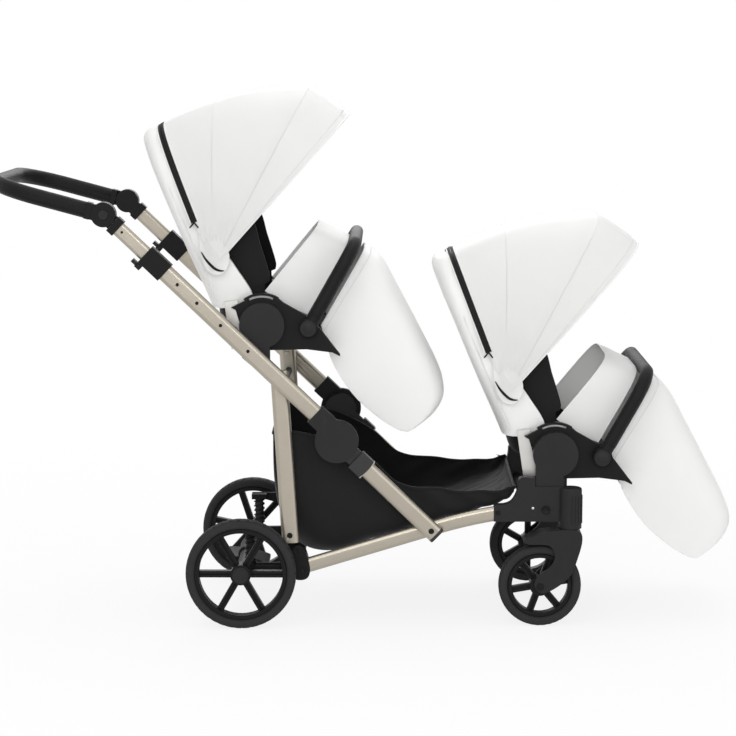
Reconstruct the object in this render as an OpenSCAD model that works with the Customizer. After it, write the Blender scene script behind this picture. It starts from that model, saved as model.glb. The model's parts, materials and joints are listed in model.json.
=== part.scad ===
// Tandem twin pram: folding chassis, two reversible seat units, swivel front wheels, sprung rear axle

/* [Wheels] */
// Diameter of a rear wheel
rear_wheel_d = 280; // [260:1:300]
// Diameter of a front wheel
front_wheel_d = 210; // [196:1:220]
// Width of a rear tyre
rear_tyre_w = 44; // [38:1:48]
// Width of a front tyre
front_tyre_w = 40; // [34:1:44]
// Radial depth of a tyre
tyre_depth = 24; // [18:1:28]
// Distance between the rear and the front axle
wheelbase = 758; // [740:1:780]
// Horizontal distance from a front axle to its swivel axis
trail = 76; // [68:1:82]

/* [Frame] */
// Height of an oval frame tube's section
tube_h = 44; // [40:1:46]
// Width of an oval frame tube's section
tube_w = 22; // [20:1:24]
// Wall of an oval frame tube
tube_wall = 1.8; // [1.2:0.1:2]
// Height of a lower rail's section
rail_h = 38; // [34:1:42]
// Distance between the two main tubes' centres
frame_w = 536; // [520:1:560]
// Slope of the main tubes
frame_angle = 43.7; // [42:0.1:45]
// Height of the rear legs' top pivot
leg_top_z = 633; // [624:1:642]
// Main tube length above the leg pivot
tube_above = 452; // [440:1:470]
// Main tube length below the leg pivot
tube_below = 159; // [152:1:164]
// Slope of the lower rails
rail_angle = 16.9; // [16:0.1:18]
// Radius of the frame hub
hub_r = 55; // [50:1:58]

/* [Handle] */
// Length of the handle's inner tube that shows
handle_out = 117; // [110:1:130]
// Distance from the handle joint to the middle of the push bar
handle_reach = 290; // [280:1:310]
// Upward tilt of the push bar
handle_tilt = 15; // [10:1:18]
// Height of the push bar's section
grip_h = 40; // [34:1:44]
// Width of the push bar's section
grip_w = 30; // [26:1:34]
// Radius of the push bar's corners
grip_bend = 120; // [100:1:140]

/* [Seats] */
// Height of the front seat hubs over the swivel housings
front_hub_rise = 88.7; // [82:0.1:98]
// Radius of a seat hub's cover
seat_hub_r = 57; // [52:1:60]
// Depth of a canopy from its pivot to its front bow
canopy_r = 515; // [500:1:530]
// Length of a backrest
back_len = 470; // [455:1:480]
// Length of a foot cover
cover_len = 400; // [385:1:410]
// Diameter of a bumper bar
bumper_d = 34; // [30:1:36]
// Distance from a bumper pivot to the middle of its bar
bumper_reach = 240; // [234:1:248]

/* [Hidden] */
$fn = 48;

// Clearances: one overrun for cuts, a running fit, a soft gap and a hinge gap
over = 1;
run_fit = 0.05;
soft_gap = 0.3;
slide_fit = 0.4;

// Colours as seen on the object
champagne = [0.78, 0.75, 0.68];
black = [0.08, 0.08, 0.08];
dark = [0.19, 0.19, 0.19];
white = [0.93, 0.93, 0.93];
silver = [0.78, 0.78, 0.78];

// Points are [x, z] from the ground under the rear axle, +x forwards
function dir(a) = [cos(a), sin(a)];
function mix(a, b, t) = a + (b - a) * t;
function size2(shares, w, h) = [for (s = shares) [s[0] * w, s[1] * h]];
// Outline with its corners cut again and again; a point given twice stays sharp
ease_share = 0.25;
ease_times = 2;
least_turn = 0.01;
function twice(p) = [for (a = p) each [a, a]];
function single(p) = [for (i = [0:len(p) - 1]) if (p[i] != p[(i + 1) % len(p)]) p[i]];
function bent(p) = [for (i = [0:len(p) - 1])
    let (a = p[(i + len(p) - 1) % len(p)], b = p[i], c = p[(i + 1) % len(p)])
    if (abs(cross(b - a, c - b)) > least_turn) b];
function eased(p, times = ease_times) = times == 0 ? bent(single(p)) : eased([for (i = [0:len(p) - 1])
    let (a = p[i], b = p[(i + 1) % len(p)]) each a == b ? [a, a] : [mix(a, b, ease_share), mix(b, a, ease_share)]],
    times - 1);

// Layers across the pram, as distances from the middle
frame_y = frame_w / 2;
layer_gap = 1;
frame_in_y = frame_y - tube_w / 2;
leg_y = frame_y - tube_w - layer_gap;
leg_in_y = leg_y - tube_w / 2;
leg_out_y = leg_y + tube_w / 2;
bracket_plate_t = 11;
bracket_plate_y = leg_in_y - layer_gap - bracket_plate_t;
wheel_side_gap = 7;
rear_wheel_y = leg_out_y + wheel_side_gap + rear_tyre_w / 2;
front_wheel_out = 4;
front_wheel_y = leg_y + front_wheel_out;

// Frame line and its pivots
rear_axle = [0, rear_wheel_d / 2];
front_axle = [wheelbase, front_wheel_d / 2];
hood_share = 1.4;
stem_foot_z = front_axle[1] + hood_share * front_wheel_d / 2;
housing_h = 98;
housing_z = stem_foot_z + soft_gap;
leg_top_x = 98;
leg_top = [leg_top_x, leg_top_z];
tube_u = dir(-frame_angle);
tube_n = dir(90 - frame_angle);
function on_tube(s, p) = leg_top + s * tube_u + p * tube_n;
tube_top = on_tube(-tube_above, 0);
tube_end = on_tube(tube_below, 0);
hub_along = 212;
hub_drop = 12;
hub = on_tube(hub_along, -hub_drop);
rail_start = [161, 151];
rail_u = dir(rail_angle);
rail_flat_angle = 9;
rail_bend_r = 1213;
strut_at = 335;
strut_foot = rail_start + strut_at * rail_u;
rail_bend_at = 350;
rail_bend = rail_start + rail_bend_at * rail_u;
rail_centre = rail_bend - rail_bend_r * dir(rail_angle + 90);
rail_front = rail_centre + rail_bend_r * dir(rail_flat_angle + 90);
leg_foot = [123, 232];
rivet_r = 4;
rivet_head_r = 7;
rivet_head_t = 2;

// Suspension
arm_pivot_x = 146;
arm_pivot = [arm_pivot_x, rear_axle[1]];
arm_pivot_r = 9;
arm_w = 20;
arm_side_gap = 2;
arm_y = bracket_plate_y - arm_side_gap - arm_w / 2;
arm_h = 26;
beam_r = 15;
stub_r = 6;
spring_x = 20;
spring_out = 2;
spring_y = arm_y + spring_out;
spring_r = 15;
spring_wire_r = 2;
spring_seat_t = 5;
spring_turns = 6;
spring_top_z = 236;
spring_low_z = rear_axle[1] + arm_h / 2 + spring_seat_t;

// Seat hubs
seat_gap = 3;
seat_face_y = frame_in_y - seat_gap;
disc_t = 26;
disc_in_y = seat_face_y - disc_t;
plate_t = 16;
plate_in_y = disc_in_y - plate_t;
swing_t = 11;
swing_out_y = plate_in_y - soft_gap;
swing_in_y = swing_out_y - swing_t;
back_half = swing_in_y - soft_gap;
cover_side = 15.4;
cover_half = back_half - cover_side;
apron_side = 12.4;
apron_half = back_half - apron_side;
pan_side = 22.4;
pan_half = back_half - pan_side;
pad_side = 8;
pad_half = pan_half - pad_side;
canopy_wall = 3;
bow_r = 4;
bow_side_gap = 0.8;
bow_half = back_half + bow_side_gap + bow_r;
canopy_half = bow_half + bow_r + soft_gap + canopy_wall;
rear_hub_along = -124;
rear_hub_rise = 67;
rear_seat = on_tube(rear_hub_along, rear_hub_rise);
swivel_x = wheelbase + trail;
front_hub_back = 38;
front_seat = [swivel_x - front_hub_back, housing_z + housing_h + front_hub_rise];
neck_back = 50;
neck_front = 20;
neck_drop = 80;
tongue_in = 14;
tongue_t = 12;
tongue_h = 44;

// Handle
inner_h = 38;
inner_w = tube_w - 2 * tube_wall - 2 * slide_fit;
inner_wall = 1.6;
inner_hold = 170;
handle_joint_r = 31;
handle_joint = on_tube(-tube_above - handle_out - handle_joint_r, 0);
handle_u = dir(180 - handle_tilt);
grip_end = handle_joint + (handle_reach + grip_w / 2) * handle_u;

// Fore and aft limits, which place the middle of the pram at x = 0
rear_limit = grip_end[0];
foot_crown_shares = [[0.64, 0.45], [0.75, 0.365], [0.87, 0.15], [1.01, -0.115], [1.115, -0.325], [1.155, -0.465],
    [1.1, -0.58], [0.98, -0.67]];
foot_foot_shares = [[0.37, -0.02], [0.4, -0.135], [0.455, -0.285], [0.575, -0.465], [0.71, -0.59],
    [0.81, -0.66], [0.87, -0.69], [0.92, -0.7]];
front_limit = front_seat[0] + cover_len * max([for (p = foot_crown_shares) p[0]]);
centre_x = (rear_limit + front_limit) / 2;

module place() translate([-centre_x, 0, 0]) children();
module both() {
    children();
    mirror([0, 1, 0]) children();
}
module at(p) translate([p[0], 0, p[1]]) children();
// Round bar along y
module bar(p, r, y0, y1) translate([p[0], y0, p[1]]) rotate([-90, 0, 0]) cylinder(r = r, h = y1 - y0);
// Flat plate of a side outline
module plate(points, y0, y1)
    translate([0, y1, 0]) rotate([90, 0, 0]) linear_extrude(y1 - y0) polygon(points);
// Oval section, w across and h up
module oval(w, h) {
    square([w, h - w], center = true);
    for (s = [-1, 1]) translate([0, s * (h - w) / 2]) circle(d = w);
}
// Straight run of a section from a to b in the side plane
module run(a, b) {
    d = b - a;
    at(a) rotate([0, -atan2(d[1], d[0]), 0]) rotate([90, 0, 90]) linear_extrude(norm(d)) children();
}
module tube_run(a, b, y, h, w, wall) translate([0, y, 0]) run(a, b) difference() {
    oval(w, h);
    oval(w - 2 * wall, h - 2 * wall);
}
module solid_run(a, b, y, h, w) translate([0, y, 0]) run(a, b) oval(w, h);
module rounded(w, h, c) {
    square([w - 2 * c, h], center = true);
    square([w, h - 2 * c], center = true);
    for (i = [-1, 1], j = [-1, 1]) translate([i * (w / 2 - c), j * (h / 2 - c)]) circle(r = c);
}

// Soft shells: each section is an arch from its foot to its crown and back to the foot on the other side
arch_steps = 16;
soft_square_share = 6;
canopy_square_share = 4.2;
function arch_cos(j, n) = let (c = cos(180 * j / arch_steps)) sign(c) * pow(abs(c), 2 / n);
function arch_sin(j, n) = pow(abs(sin(180 * j / arch_steps)), 2 / n);
function arch_point(foot, crown, half, j, n) =
    let (p = mix(foot, crown, arch_sin(j, n))) [p[0], half * arch_cos(j, n), p[1]];
function drawn(foot, crown, wall) =
    let (d = norm(crown - foot)) d < 2 * wall ? mix(foot, crown, 0.5) : crown - (crown - foot) * wall / d;
function arch_faces(m) = let (k = arch_steps + 1, f = m * k) concat(
    [for (i = [0:m - 2], j = [0:arch_steps - 1]) each
        [[i * k + j, i * k + j + 1, (i + 1) * k + j + 1], [i * k + j, (i + 1) * k + j + 1, (i + 1) * k + j]]],
    [for (i = [0:m - 2], j = [0:arch_steps - 1]) each
        [[f + i * k + j, f + (i + 1) * k + j + 1, f + i * k + j + 1],
         [f + i * k + j, f + (i + 1) * k + j, f + (i + 1) * k + j + 1]]],
    [for (i = [0:m - 2]) each
        [[i * k, (i + 1) * k, f + (i + 1) * k], [i * k, f + (i + 1) * k, f + i * k]]],
    [for (i = [0:m - 2]) let (a = i * k + arch_steps, b = a + k) each
        [[a, f + b, b], [a, f + a, f + b]]],
    [for (j = [0:arch_steps - 1]) each [[j, f + j, f + j + 1], [j, f + j + 1, j + 1]]],
    [for (j = [0:arch_steps - 1]) let (a = (m - 1) * k + j) each [[a, f + a + 1, f + a], [a, a + 1, f + a + 1]]]
);
function flipped(faces) = [for (f = faces) [f[2], f[1], f[0]]];
// A higher square makes a boxier arch, given once or for each section; a hung arch opens upwards
module arch_shell(feet, crowns, halves, wall, squares, hung = false) {
    m = len(feet);
    n = is_num(squares) ? [for (i = [1:m]) squares] : squares;
    outer = [for (i = [0:m - 1], j = [0:arch_steps]) arch_point(feet[i], crowns[i], halves[i], j, n[i])];
    inner = [for (i = [0:m - 1], j = [0:arch_steps])
        arch_point(feet[i], drawn(feet[i], crowns[i], wall), halves[i] - wall, j, n[i])];
    polyhedron(concat(outer, inner), hung ? arch_faces(m) : flipped(arch_faces(m)), convexity = 6);
}

// Wheels
rim_band = 10;
rim_w_share = 0.7;
tyre_shoulder_share = 0.4;
spoke_count = 6;
spoke_w = 6;
spoke_gap = 5;
spoke_t_share = 0.4;
web_t_share = 0.2;
wheel_hub_r = 26;
// How far each wheel has rolled where it stands
front_left_turn = 30;
front_right_turn = -10;
rear_left_turn = 12;
module tyre(d, w) rotate([90, 0, 0]) rotate_extrude()
    translate([d / 2 - tyre_depth / 2, 0]) rounded(tyre_depth, w, tyre_depth * tyre_shoulder_share);
module rim(d, w, bore_r, bore_from, bore_to, hub_in, hub_out, turn_by) rotate([-90, 0, 0]) difference() {
    union() {
        rotate_extrude() translate([d / 2 - tyre_depth - rim_band / 2, 0])
            square([rim_band, w * rim_w_share], center = true);
        translate([0, 0, hub_in]) cylinder(r = wheel_hub_r, h = hub_out - hub_in);
        for (i = [0:spoke_count - 1], s = [-1, 1]) rotate(turn_by + i * 360 / spoke_count)
            translate([wheel_hub_r / 2, s * (spoke_w + spoke_gap) / 2 - spoke_w / 2, -w * spoke_t_share / 2])
                cube([d / 2 - tyre_depth - rim_band / 2 - wheel_hub_r / 2, spoke_w, w * spoke_t_share]);
        for (i = [0:spoke_count - 1]) rotate(turn_by + i * 360 / spoke_count)
            translate([wheel_hub_r / 2, -(spoke_gap + spoke_w) / 2, -w * web_t_share / 2])
                cube([d / 2 - tyre_depth - rim_band / 2 - wheel_hub_r / 2, spoke_gap + spoke_w, w * web_t_share]);
    }
    translate([0, 0, bore_from]) cylinder(r = bore_r, h = bore_to - bore_from);
}
hub_share = 0.5;
stub_reach_share = 0.35;
rear_hub_in = -rear_tyre_w * hub_share;
rear_hub_out = rear_tyre_w * hub_share;
stub_end_y = rear_wheel_y + rear_tyre_w * stub_reach_share;
module rear_tyre(s) color(black) place() at(rear_axle) translate([0, s * rear_wheel_y, 0])
    tyre(rear_wheel_d, rear_tyre_w);
module rear_rim(s) color(dark) place() at(rear_axle) mirror([0, s < 0 ? 1 : 0, 0])
    translate([0, rear_wheel_y, 0]) rim(rear_wheel_d, rear_tyre_w, stub_r + run_fit, rear_hub_in - over,
        stub_end_y - rear_wheel_y + layer_gap, rear_hub_in, rear_hub_out, s > 0 ? rear_left_turn : 0);
module front_tyre(s) color(black) place() at(front_axle) translate([0, s * front_wheel_y, 0])
    tyre(front_wheel_d, front_tyre_w);
module front_rim(s) color(dark) place() at(front_axle) translate([0, s * front_wheel_y, 0])
    rim(front_wheel_d, front_tyre_w, fork_pin_r + run_fit, -front_tyre_w, front_tyre_w,
        -front_tyre_w * hub_share, front_tyre_w * hub_share, s > 0 ? front_left_turn : front_right_turn);

// Swivel forks: a hood over the tyre with two legs to the axle and a stem
fork_pin_r = 5;
fork_leg_t = 8;
fork_gap = 3;
stem_r = 9;
stem_h = 84;
stem_end_gap = 2;
housing_r = 29;
thrust_r = 20;
fork_over_tyre = 4;
fork_half = front_tyre_w / 2 + fork_gap + fork_leg_t;
fork_leg_shares = [[-0.66, 1.12], [-0.1, 1.3], [0.6, 1.4], [1.32, 1.4], [1.42, 1.15], [1.2, 0.6], [1, 0.22],
    [0.34, -0.12], [0, -0.18], [-0.22, 0], [-0.14, 0.26], [0.36, 0.5], [0.52, 0.76], [0.36, 1], [0.1, 1.04],
    [-0.4, 1.03]];
fork_roof_z = front_axle[1] + front_wheel_d / 2 + fork_over_tyre;
module fork(s) color(dark) place() translate([0, s * front_wheel_y, 0]) {
    difference() {
        at(front_axle) plate(eased(size2(fork_leg_shares, trail, front_wheel_d / 2)), -fork_half, fork_half);
        bar(front_axle, front_wheel_d / 2 + fork_over_tyre, -fork_half + fork_leg_t, fork_half - fork_leg_t);
    }
    bar(front_axle, fork_pin_r, -fork_half, fork_half);
    translate([swivel_x, 0, fork_roof_z])
        cylinder(r = thrust_r, h = stem_foot_z - fork_roof_z);
    translate([swivel_x, 0, stem_foot_z - over]) cylinder(r = stem_r, h = stem_h + over);
}

// Chassis
bracket_in_y = leg_in_y - fork_over_tyre;
bracket_out_y = leg_out_y + layer_gap;
tower_top = front_seat[1] - neck_drop;
arm_lift = 16.4;
arm_h_front = 43;
arm_low_z = housing_z + arm_lift;
arm_high_z = arm_low_z + arm_h_front;
arm_back_x = 640;
// Shoulder of the bracket behind the seat hub's neck, as shares of the run from the arm to the neck
shoulder_gap = 1.5;
shoulder_h = 22;
shoulder_x = front_seat[0] - neck_back - shoulder_gap;
shoulder_z = tower_top + shoulder_h;
shoulder_shares = [[1, 1], [0.5, 1.06], [0.5, 0.6], [0.34, 0.14], [0.12, 0]];
shoulder = [for (s = shoulder_shares)
    [mix(rail_front[0], shoulder_x, s[0]), mix(arm_high_z, shoulder_z, s[1])]];
module rail_body(inset = 0) translate([0, leg_y, 0]) {
    run(rail_start, rail_bend) oval(tube_w - 2 * inset, rail_h - 2 * inset);
    at(rail_centre) rotate([90, 0, 0]) rotate([0, 0, 90 + rail_flat_angle])
        rotate_extrude(angle = rail_angle - rail_flat_angle, $fn = 4 * $fn)
            translate([rail_bend_r, 0]) rotate(90) oval(tube_w - 2 * inset, rail_h - 2 * inset);
}
module lower_rails() color(champagne) place() both() difference() {
    rail_body();
    rail_body(tube_wall);
    bar(strut_foot, rivet_r + soft_gap, -over, frame_w);
}

cross_r = 11;
cross_back = 109;
cross_rise = 25;
front_cross = [swivel_x - cross_back, arm_low_z + cross_rise];
module cross_tubes() color(black) place() {
    bar(front_cross, cross_r, -bracket_in_y, bracket_in_y);
    bar(arm_pivot, arm_pivot_r, -bracket_plate_y, bracket_plate_y);
}

module front_brackets() color(dark) place() both() difference() {
    union() {
        plate(eased(concat(twice([[arm_back_x, arm_low_z], [swivel_x, arm_low_z], [swivel_x, housing_z + housing_h],
            [front_seat[0] + neck_front, tower_top], [shoulder_x, tower_top], shoulder[0]]),
            [for (i = [1:len(shoulder) - 1]) shoulder[i]], twice([[arm_back_x, arm_high_z]]))),
            bracket_in_y, bracket_out_y);
        translate([swivel_x, front_wheel_y, housing_z]) cylinder(r = housing_r, h = housing_h);
        tongue(front_seat);
    }
    rail_body();
    translate([swivel_x, front_wheel_y, housing_z - over])
        cylinder(r = stem_r + run_fit, h = stem_h + over + stem_end_gap);
}
// Upright tongue that a seat hub drops over
tongue_y = disc_in_y + disc_t / 2;
module tongue(seat, grow = 0)
    translate([seat[0] - neck_back + tongue_in - grow, tongue_y - tongue_t / 2 - grow,
        seat[1] - neck_drop - over])
        cube([neck_back + neck_front - 2 * tongue_in + 2 * grow, tongue_t + 2 * grow, tongue_h + over + grow]);

spring_arm_t = 14;
spring_arm_back = 20;
block_shares = [[-0.5, 1], [0.6, 1], [1.1, 0.2], [1.3, -0.5], [0.9, -0.95], [-0.4, -0.95], [-0.8, -0.4]];
block_w = 26;
block_h = 46;
block_mid = [142, 160];
module rear_brackets() color(black) place() both() difference() {
    union() {
        plate([[spring_x - spring_arm_back, spring_top_z], [spring_x + spring_arm_back, spring_top_z],
            [spring_x + spring_arm_back, spring_top_z + spring_arm_t],
            [spring_x - spring_arm_back, spring_top_z + spring_arm_t]],
            spring_y - spring_r, leg_in_y - layer_gap);
        plate([[spring_x, spring_top_z], leg_foot - [rail_h / 2, rail_h / 2],
            leg_foot + [rail_h / 2, -rail_h / 2],
            leg_foot + [rail_h / 2, rail_h / 2], leg_foot + [-rail_h / 2, rail_h / 2],
            [spring_x, spring_top_z + spring_arm_t]], bracket_plate_y, leg_in_y - layer_gap);
        plate(eased([for (p = size2(block_shares, block_w, block_h)) p + block_mid]), bracket_plate_y, bracket_out_y);
        plate([leg_foot + [-rail_h / 2, 0], leg_foot + [rail_h / 2, 0], block_mid + [block_w / 2, 0],
            block_mid + [-block_w / 2, 0]], bracket_plate_y, leg_in_y - layer_gap);
    }
    solid_run(rail_start, rail_bend, leg_y, rail_h, tube_w);
    bar(arm_pivot, arm_pivot_r, -over, bracket_plate_y);
    bar(leg_foot, rivet_r, -over, frame_w);
}

// Pins with heads, fixed to the chassis
module pin(p, y0, y1) {
    bar(p, rivet_r, y0, y1);
    bar(p, rivet_head_r, y1, y1 + rivet_head_t);
}
module frame_pins() color(black) place() both() {
    pin(leg_foot, bracket_plate_y, leg_out_y + soft_gap);
    pin(strut_foot, leg_in_y, frame_y + tube_w / 2 + soft_gap);
}

// Shopping basket: an open bag hung between the rails
basket_wall = 4;
basket_h = 300;
basket_foot_shares = [[0, 1.05], [0, 1.04], [0.04, 1.05], [0.11, 1.04], [0.26, 0.96], [0.4, 0.81], [0.52, 0.6],
    [0.65, 0.56], [0.81, 0.53], [0.94, 0.54], [0.99, 0.575], [1, 0.58]];
basket_crown_shares = [[-0.01, 1.02], [0, 0.47], [0.06, 0.16], [0.13, -0.02], [0.26, -0.01], [0.4, 0.08],
    [0.52, 0.155],
    [0.65, 0.235], [0.81, 0.33], [0.94, 0.42], [0.99, 0.49], [1, 0.56]];
basket_rear = [84, 180];
basket_front_gap = 31;
basket_len = front_cross[0] - basket_front_gap - basket_rear[0];
basket_rear_share = 0.2;
basket_front_share = 0.8;
basket_square_share = 9;
basket_rear_square_share = 4;
module basket() color(black) place() {
    halves = [for (p = basket_foot_shares) (p[0] < basket_front_share ? leg_in_y : bracket_in_y) - soft_gap];
    squares = [for (p = basket_foot_shares)
        p[0] < basket_rear_share ? basket_rear_square_share : basket_square_share];
    arch_shell([for (p = size2(basket_foot_shares, basket_len, basket_h)) p + basket_rear],
        [for (p = size2(basket_crown_shares, basket_len, basket_h)) p + basket_rear],
        halves, basket_wall, squares, true);
}

// Rear axle frame: a beam with two trailing arms, stub axles and spring seats
beam_end_y = rear_wheel_y - rear_tyre_w / 2 - layer_gap;
module axle_frame() color(black) place() {
    difference() {
        union() {
            bar(rear_axle, beam_r, -beam_end_y, beam_end_y);
            bar(rear_axle, stub_r, -stub_end_y, stub_end_y);
            both() solid_run(rear_axle, arm_pivot, arm_y, arm_h, arm_w);
            both() bar(arm_pivot, arm_h / 2, arm_y - arm_w / 2, arm_y + arm_w / 2);
            both() translate([spring_x, spring_y, rear_axle[1]])
                cylinder(r = spring_r, h = spring_low_z - rear_axle[1]);
        }
        bar(arm_pivot, arm_pivot_r + run_fit, -frame_y, frame_y);
    }
}

// Coil springs on the arms
spring_rings = 8;
spring_sides = 6;
function coil_point(i) = let (a = 360 * i / spring_rings, n = spring_turns * spring_rings)
    [(spring_r - spring_wire_r) * cos(a), (spring_r - spring_wire_r) * sin(a),
     mix(spring_wire_r, spring_top_z - spring_low_z - spring_wire_r, i / n)];
module springs() color(dark) place() both() translate([spring_x, spring_y, spring_low_z]) {
    n = spring_turns * spring_rings;
    points = [for (i = [0:n], k = [0:spring_sides - 1]) let (
        a = 360 * i / spring_rings, b = 360 * k / spring_sides, c = coil_point(i), r = spring_wire_r * cos(b))
        c + [r * cos(a), r * sin(a), spring_wire_r * sin(b)]];
    sides = [for (i = [0:n - 1], k = [0:spring_sides - 1]) let (
        a = i * spring_sides + k, b = i * spring_sides + (k + 1) % spring_sides) each
        [[a, b + spring_sides, b], [a, a + spring_sides, b + spring_sides]]];
    ends = [for (k = [1:spring_sides - 2]) each
        [[0, k, k + 1], [n * spring_sides, n * spring_sides + k + 1, n * spring_sides + k]]];
    polyhedron(points, flipped(concat(sides, ends)), convexity = 8);
}

// Brake pedal on the beam
pedal_half = 60;
pedal_t = 12;
pedal_sleeve_t = 6;
pedal_shares = [[-0.9, -0.1], [-0.9, -0.35], [0.2, -0.9], [1, -1], [1, -0.7], [0.2, -0.2]];
pedal_len = 58;
pedal_drop = 36;
module brake_pedal() color(dark) place() difference() {
    union() {
        bar(rear_axle, beam_r + pedal_sleeve_t, -pedal_half, pedal_half);
        at(rear_axle) plate(size2(pedal_shares, pedal_len, pedal_drop), -pedal_half, pedal_half);
    }
    bar(rear_axle, beam_r + run_fit, -pedal_half - over, pedal_half + over);
}

// Folding frame
leg_over = 20;
leg_u = (leg_top - leg_foot) / norm(leg_top - leg_foot);
module rear_legs() color(champagne) place() both() difference() {
    tube_run(leg_foot - leg_over * leg_u, leg_top + leg_over * leg_u, leg_y, tube_h, tube_w, tube_wall);
    bar(leg_foot, rivet_r + run_fit, -over, frame_w);
    bar(leg_top, rivet_r + run_fit, -over, frame_w);
}
brace_at = 356;
brace_r = 9;
brace_mid = leg_foot + brace_at * leg_u;
module leg_brace() color(black) place() bar(brace_mid, brace_r, -leg_in_y, leg_in_y);

module main_tubes() color(champagne) place() both() {
    tube_run(tube_top, tube_end, frame_y, tube_h, tube_w, tube_wall);
    bar(leg_top, rivet_r, leg_in_y, frame_in_y + tube_wall);
    bar(leg_top, rivet_head_r, leg_in_y - rivet_head_t - soft_gap, leg_in_y - soft_gap);
}

// Frame hub: an outer cover on the main tube over an inner disc on the strut
hub_skin = 2;
hub_out_y = frame_y + tube_w / 2 + hub_skin;
hub_in_y = frame_y - tube_w / 2 - hub_skin;
hub_split_y = frame_y;
hub_inner_r = 42;
hub_play = 11;
collar_h = 54;
collar_run = 34;
module collar(a, b, y0, y1) translate([0, (y0 + y1) / 2, 0]) run(a, b)
    square([y1 - y0, collar_h], center = true);
module hub_covers() color(dark) place() both() difference() {
    union() {
        bar(hub, hub_r, hub_split_y + soft_gap, hub_out_y);
        collar(tube_end - collar_run * tube_u, tube_end + collar_run * tube_u, hub_in_y, hub_out_y);
    }
    bar(hub, hub_inner_r + hub_play, -over, hub_split_y + soft_gap);
    solid_run(tube_top, tube_end, frame_y, tube_h, tube_w);
}
strut_u = (strut_foot - hub) / norm(strut_foot - hub);
strut_gap = 18;
strut_start = hub + (hub_r + strut_gap) * strut_u;
strut_collar = hub + (hub_r + hub_play) * strut_u;
strut_over = 22;
cap_t = 6;
strut_end = strut_foot + strut_over * strut_u;
module struts() color(champagne) place() both() difference() {
    union() {
        bar(hub, hub_inner_r, hub_in_y, hub_split_y - soft_gap);
        translate([0, (hub_in_y + layer_gap + hub_split_y - soft_gap) / 2, 0]) run(hub, strut_start)
            square([hub_split_y - soft_gap - hub_in_y - layer_gap, tube_h], center = true);
        collar(strut_collar, strut_start + collar_run * strut_u, hub_in_y, hub_out_y);
        tube_run(strut_start, strut_end - cap_t * strut_u, frame_y, tube_h, tube_w, tube_wall);
        solid_run(strut_end - (cap_t + over) * strut_u, strut_end, frame_y, tube_h, tube_w);
    }
    bar(strut_foot, rivet_r + run_fit, -over, frame_w);
}

// Adapters for the rear seat, on the inner face of the main tubes
adapter_drop = 26;
module seat_adapters() color(dark) place() both() {
    plate([rear_seat + [-neck_back, -neck_drop], rear_seat + [neck_front, -neck_drop],
        rear_seat + [neck_front, -neck_drop - adapter_drop],
        rear_seat + [-neck_front, -neck_drop - adapter_drop]],
        disc_in_y, frame_in_y);
    tongue(rear_seat);
}

// Telescope clamps at the top of the main tubes, each with a lever between two ears
clamp_len = 68;
clamp_h = 52;
clamp_w = 32;
clamp_lip = 6;
ear_t = 4;
ear_drop = 14;
ear_len = 16;
lever_pin_r = 3;
lever_t = 9;
lever_len = 30;
clamp_top = on_tube(-tube_above - clamp_lip, 0);
clamp_low = on_tube(-tube_above - clamp_lip + clamp_len, 0);
lever_pin = on_tube(-tube_above - clamp_lip + ear_len / 2, -clamp_h / 2 - ear_drop / 2);
lever_half = clamp_w / 2 - ear_t - soft_gap;
module height_clamps() color(black) place() both() difference() {
    union() {
        collar_box(clamp_top, clamp_low, clamp_w, clamp_h, 0);
        for (s = [-1, 1]) translate([0, s * (clamp_w - ear_t) / 2, 0])
            collar_box(clamp_top, clamp_top + ear_len * tube_u, ear_t, ear_drop + over,
                -clamp_h / 2 - ear_drop / 2 + over / 2);
    }
    solid_run(tube_top, tube_end, frame_y, tube_h, tube_w);
    solid_run(handle_joint, tube_end, frame_y, inner_h + 2 * slide_fit, inner_w + 2 * slide_fit);
    bar(lever_pin, lever_pin_r + run_fit, 0, frame_w);
}
// Box around the tube line, raised by p from it
module collar_box(a, b, w, h, p) translate([0, frame_y, 0]) run(a + p * tube_n, b + p * tube_n)
    square([w, h], center = true);
module clamp_lever(s) color(dark) place() mirror([0, s < 0 ? 1 : 0, 0]) {
    bar(lever_pin, lever_pin_r, frame_y - clamp_w / 2, frame_y + clamp_w / 2);
    translate([0, frame_y, 0])
        run(lever_pin - (lever_len - ear_len / 2) * tube_u, lever_pin + lever_pin_r * tube_u)
            square([2 * lever_half, lever_t], center = true);
}

// Handle
inner_top = on_tube(-tube_above - handle_out, 0);
inner_low = on_tube(-tube_above + inner_hold, 0);
joint_split_y = frame_y;
knuckle_out_y = frame_y + clamp_w / 2;
joint_in_y = frame_y - clamp_w / 2;
joint_pin_r = 6;
button_r = 12;
button_t = 5;
button_travel = 2;
button_proud = 1.5;
recess_h = button_t - button_proud + button_travel + soft_gap;
module handle_tubes() color(champagne) place() both()
    tube_run(inner_top, inner_low, frame_y, inner_h, inner_w, inner_wall);
module handle_joints() color(black) place() both() difference() {
    union() {
        bar(handle_joint, handle_joint_r, joint_in_y, joint_split_y - soft_gap);
        translate([0, frame_y, 0])
            run(handle_joint + (handle_joint_r + slide_fit) * tube_u, inner_top + neck_front * tube_u)
                square([clamp_w - 2 * hub_skin, inner_h + 4 * hub_skin], center = true);
        translate([0, (joint_in_y + joint_split_y - soft_gap) / 2, 0])
            run(handle_joint, inner_top + neck_front * tube_u)
                square([joint_split_y - soft_gap - joint_in_y, inner_h], center = true);
        bar(handle_joint, joint_pin_r, joint_split_y - over, knuckle_out_y - recess_h - soft_gap);
    }
    solid_run(inner_top, inner_low, frame_y, inner_h, inner_w);
}
knuckle_run = 46;
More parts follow.
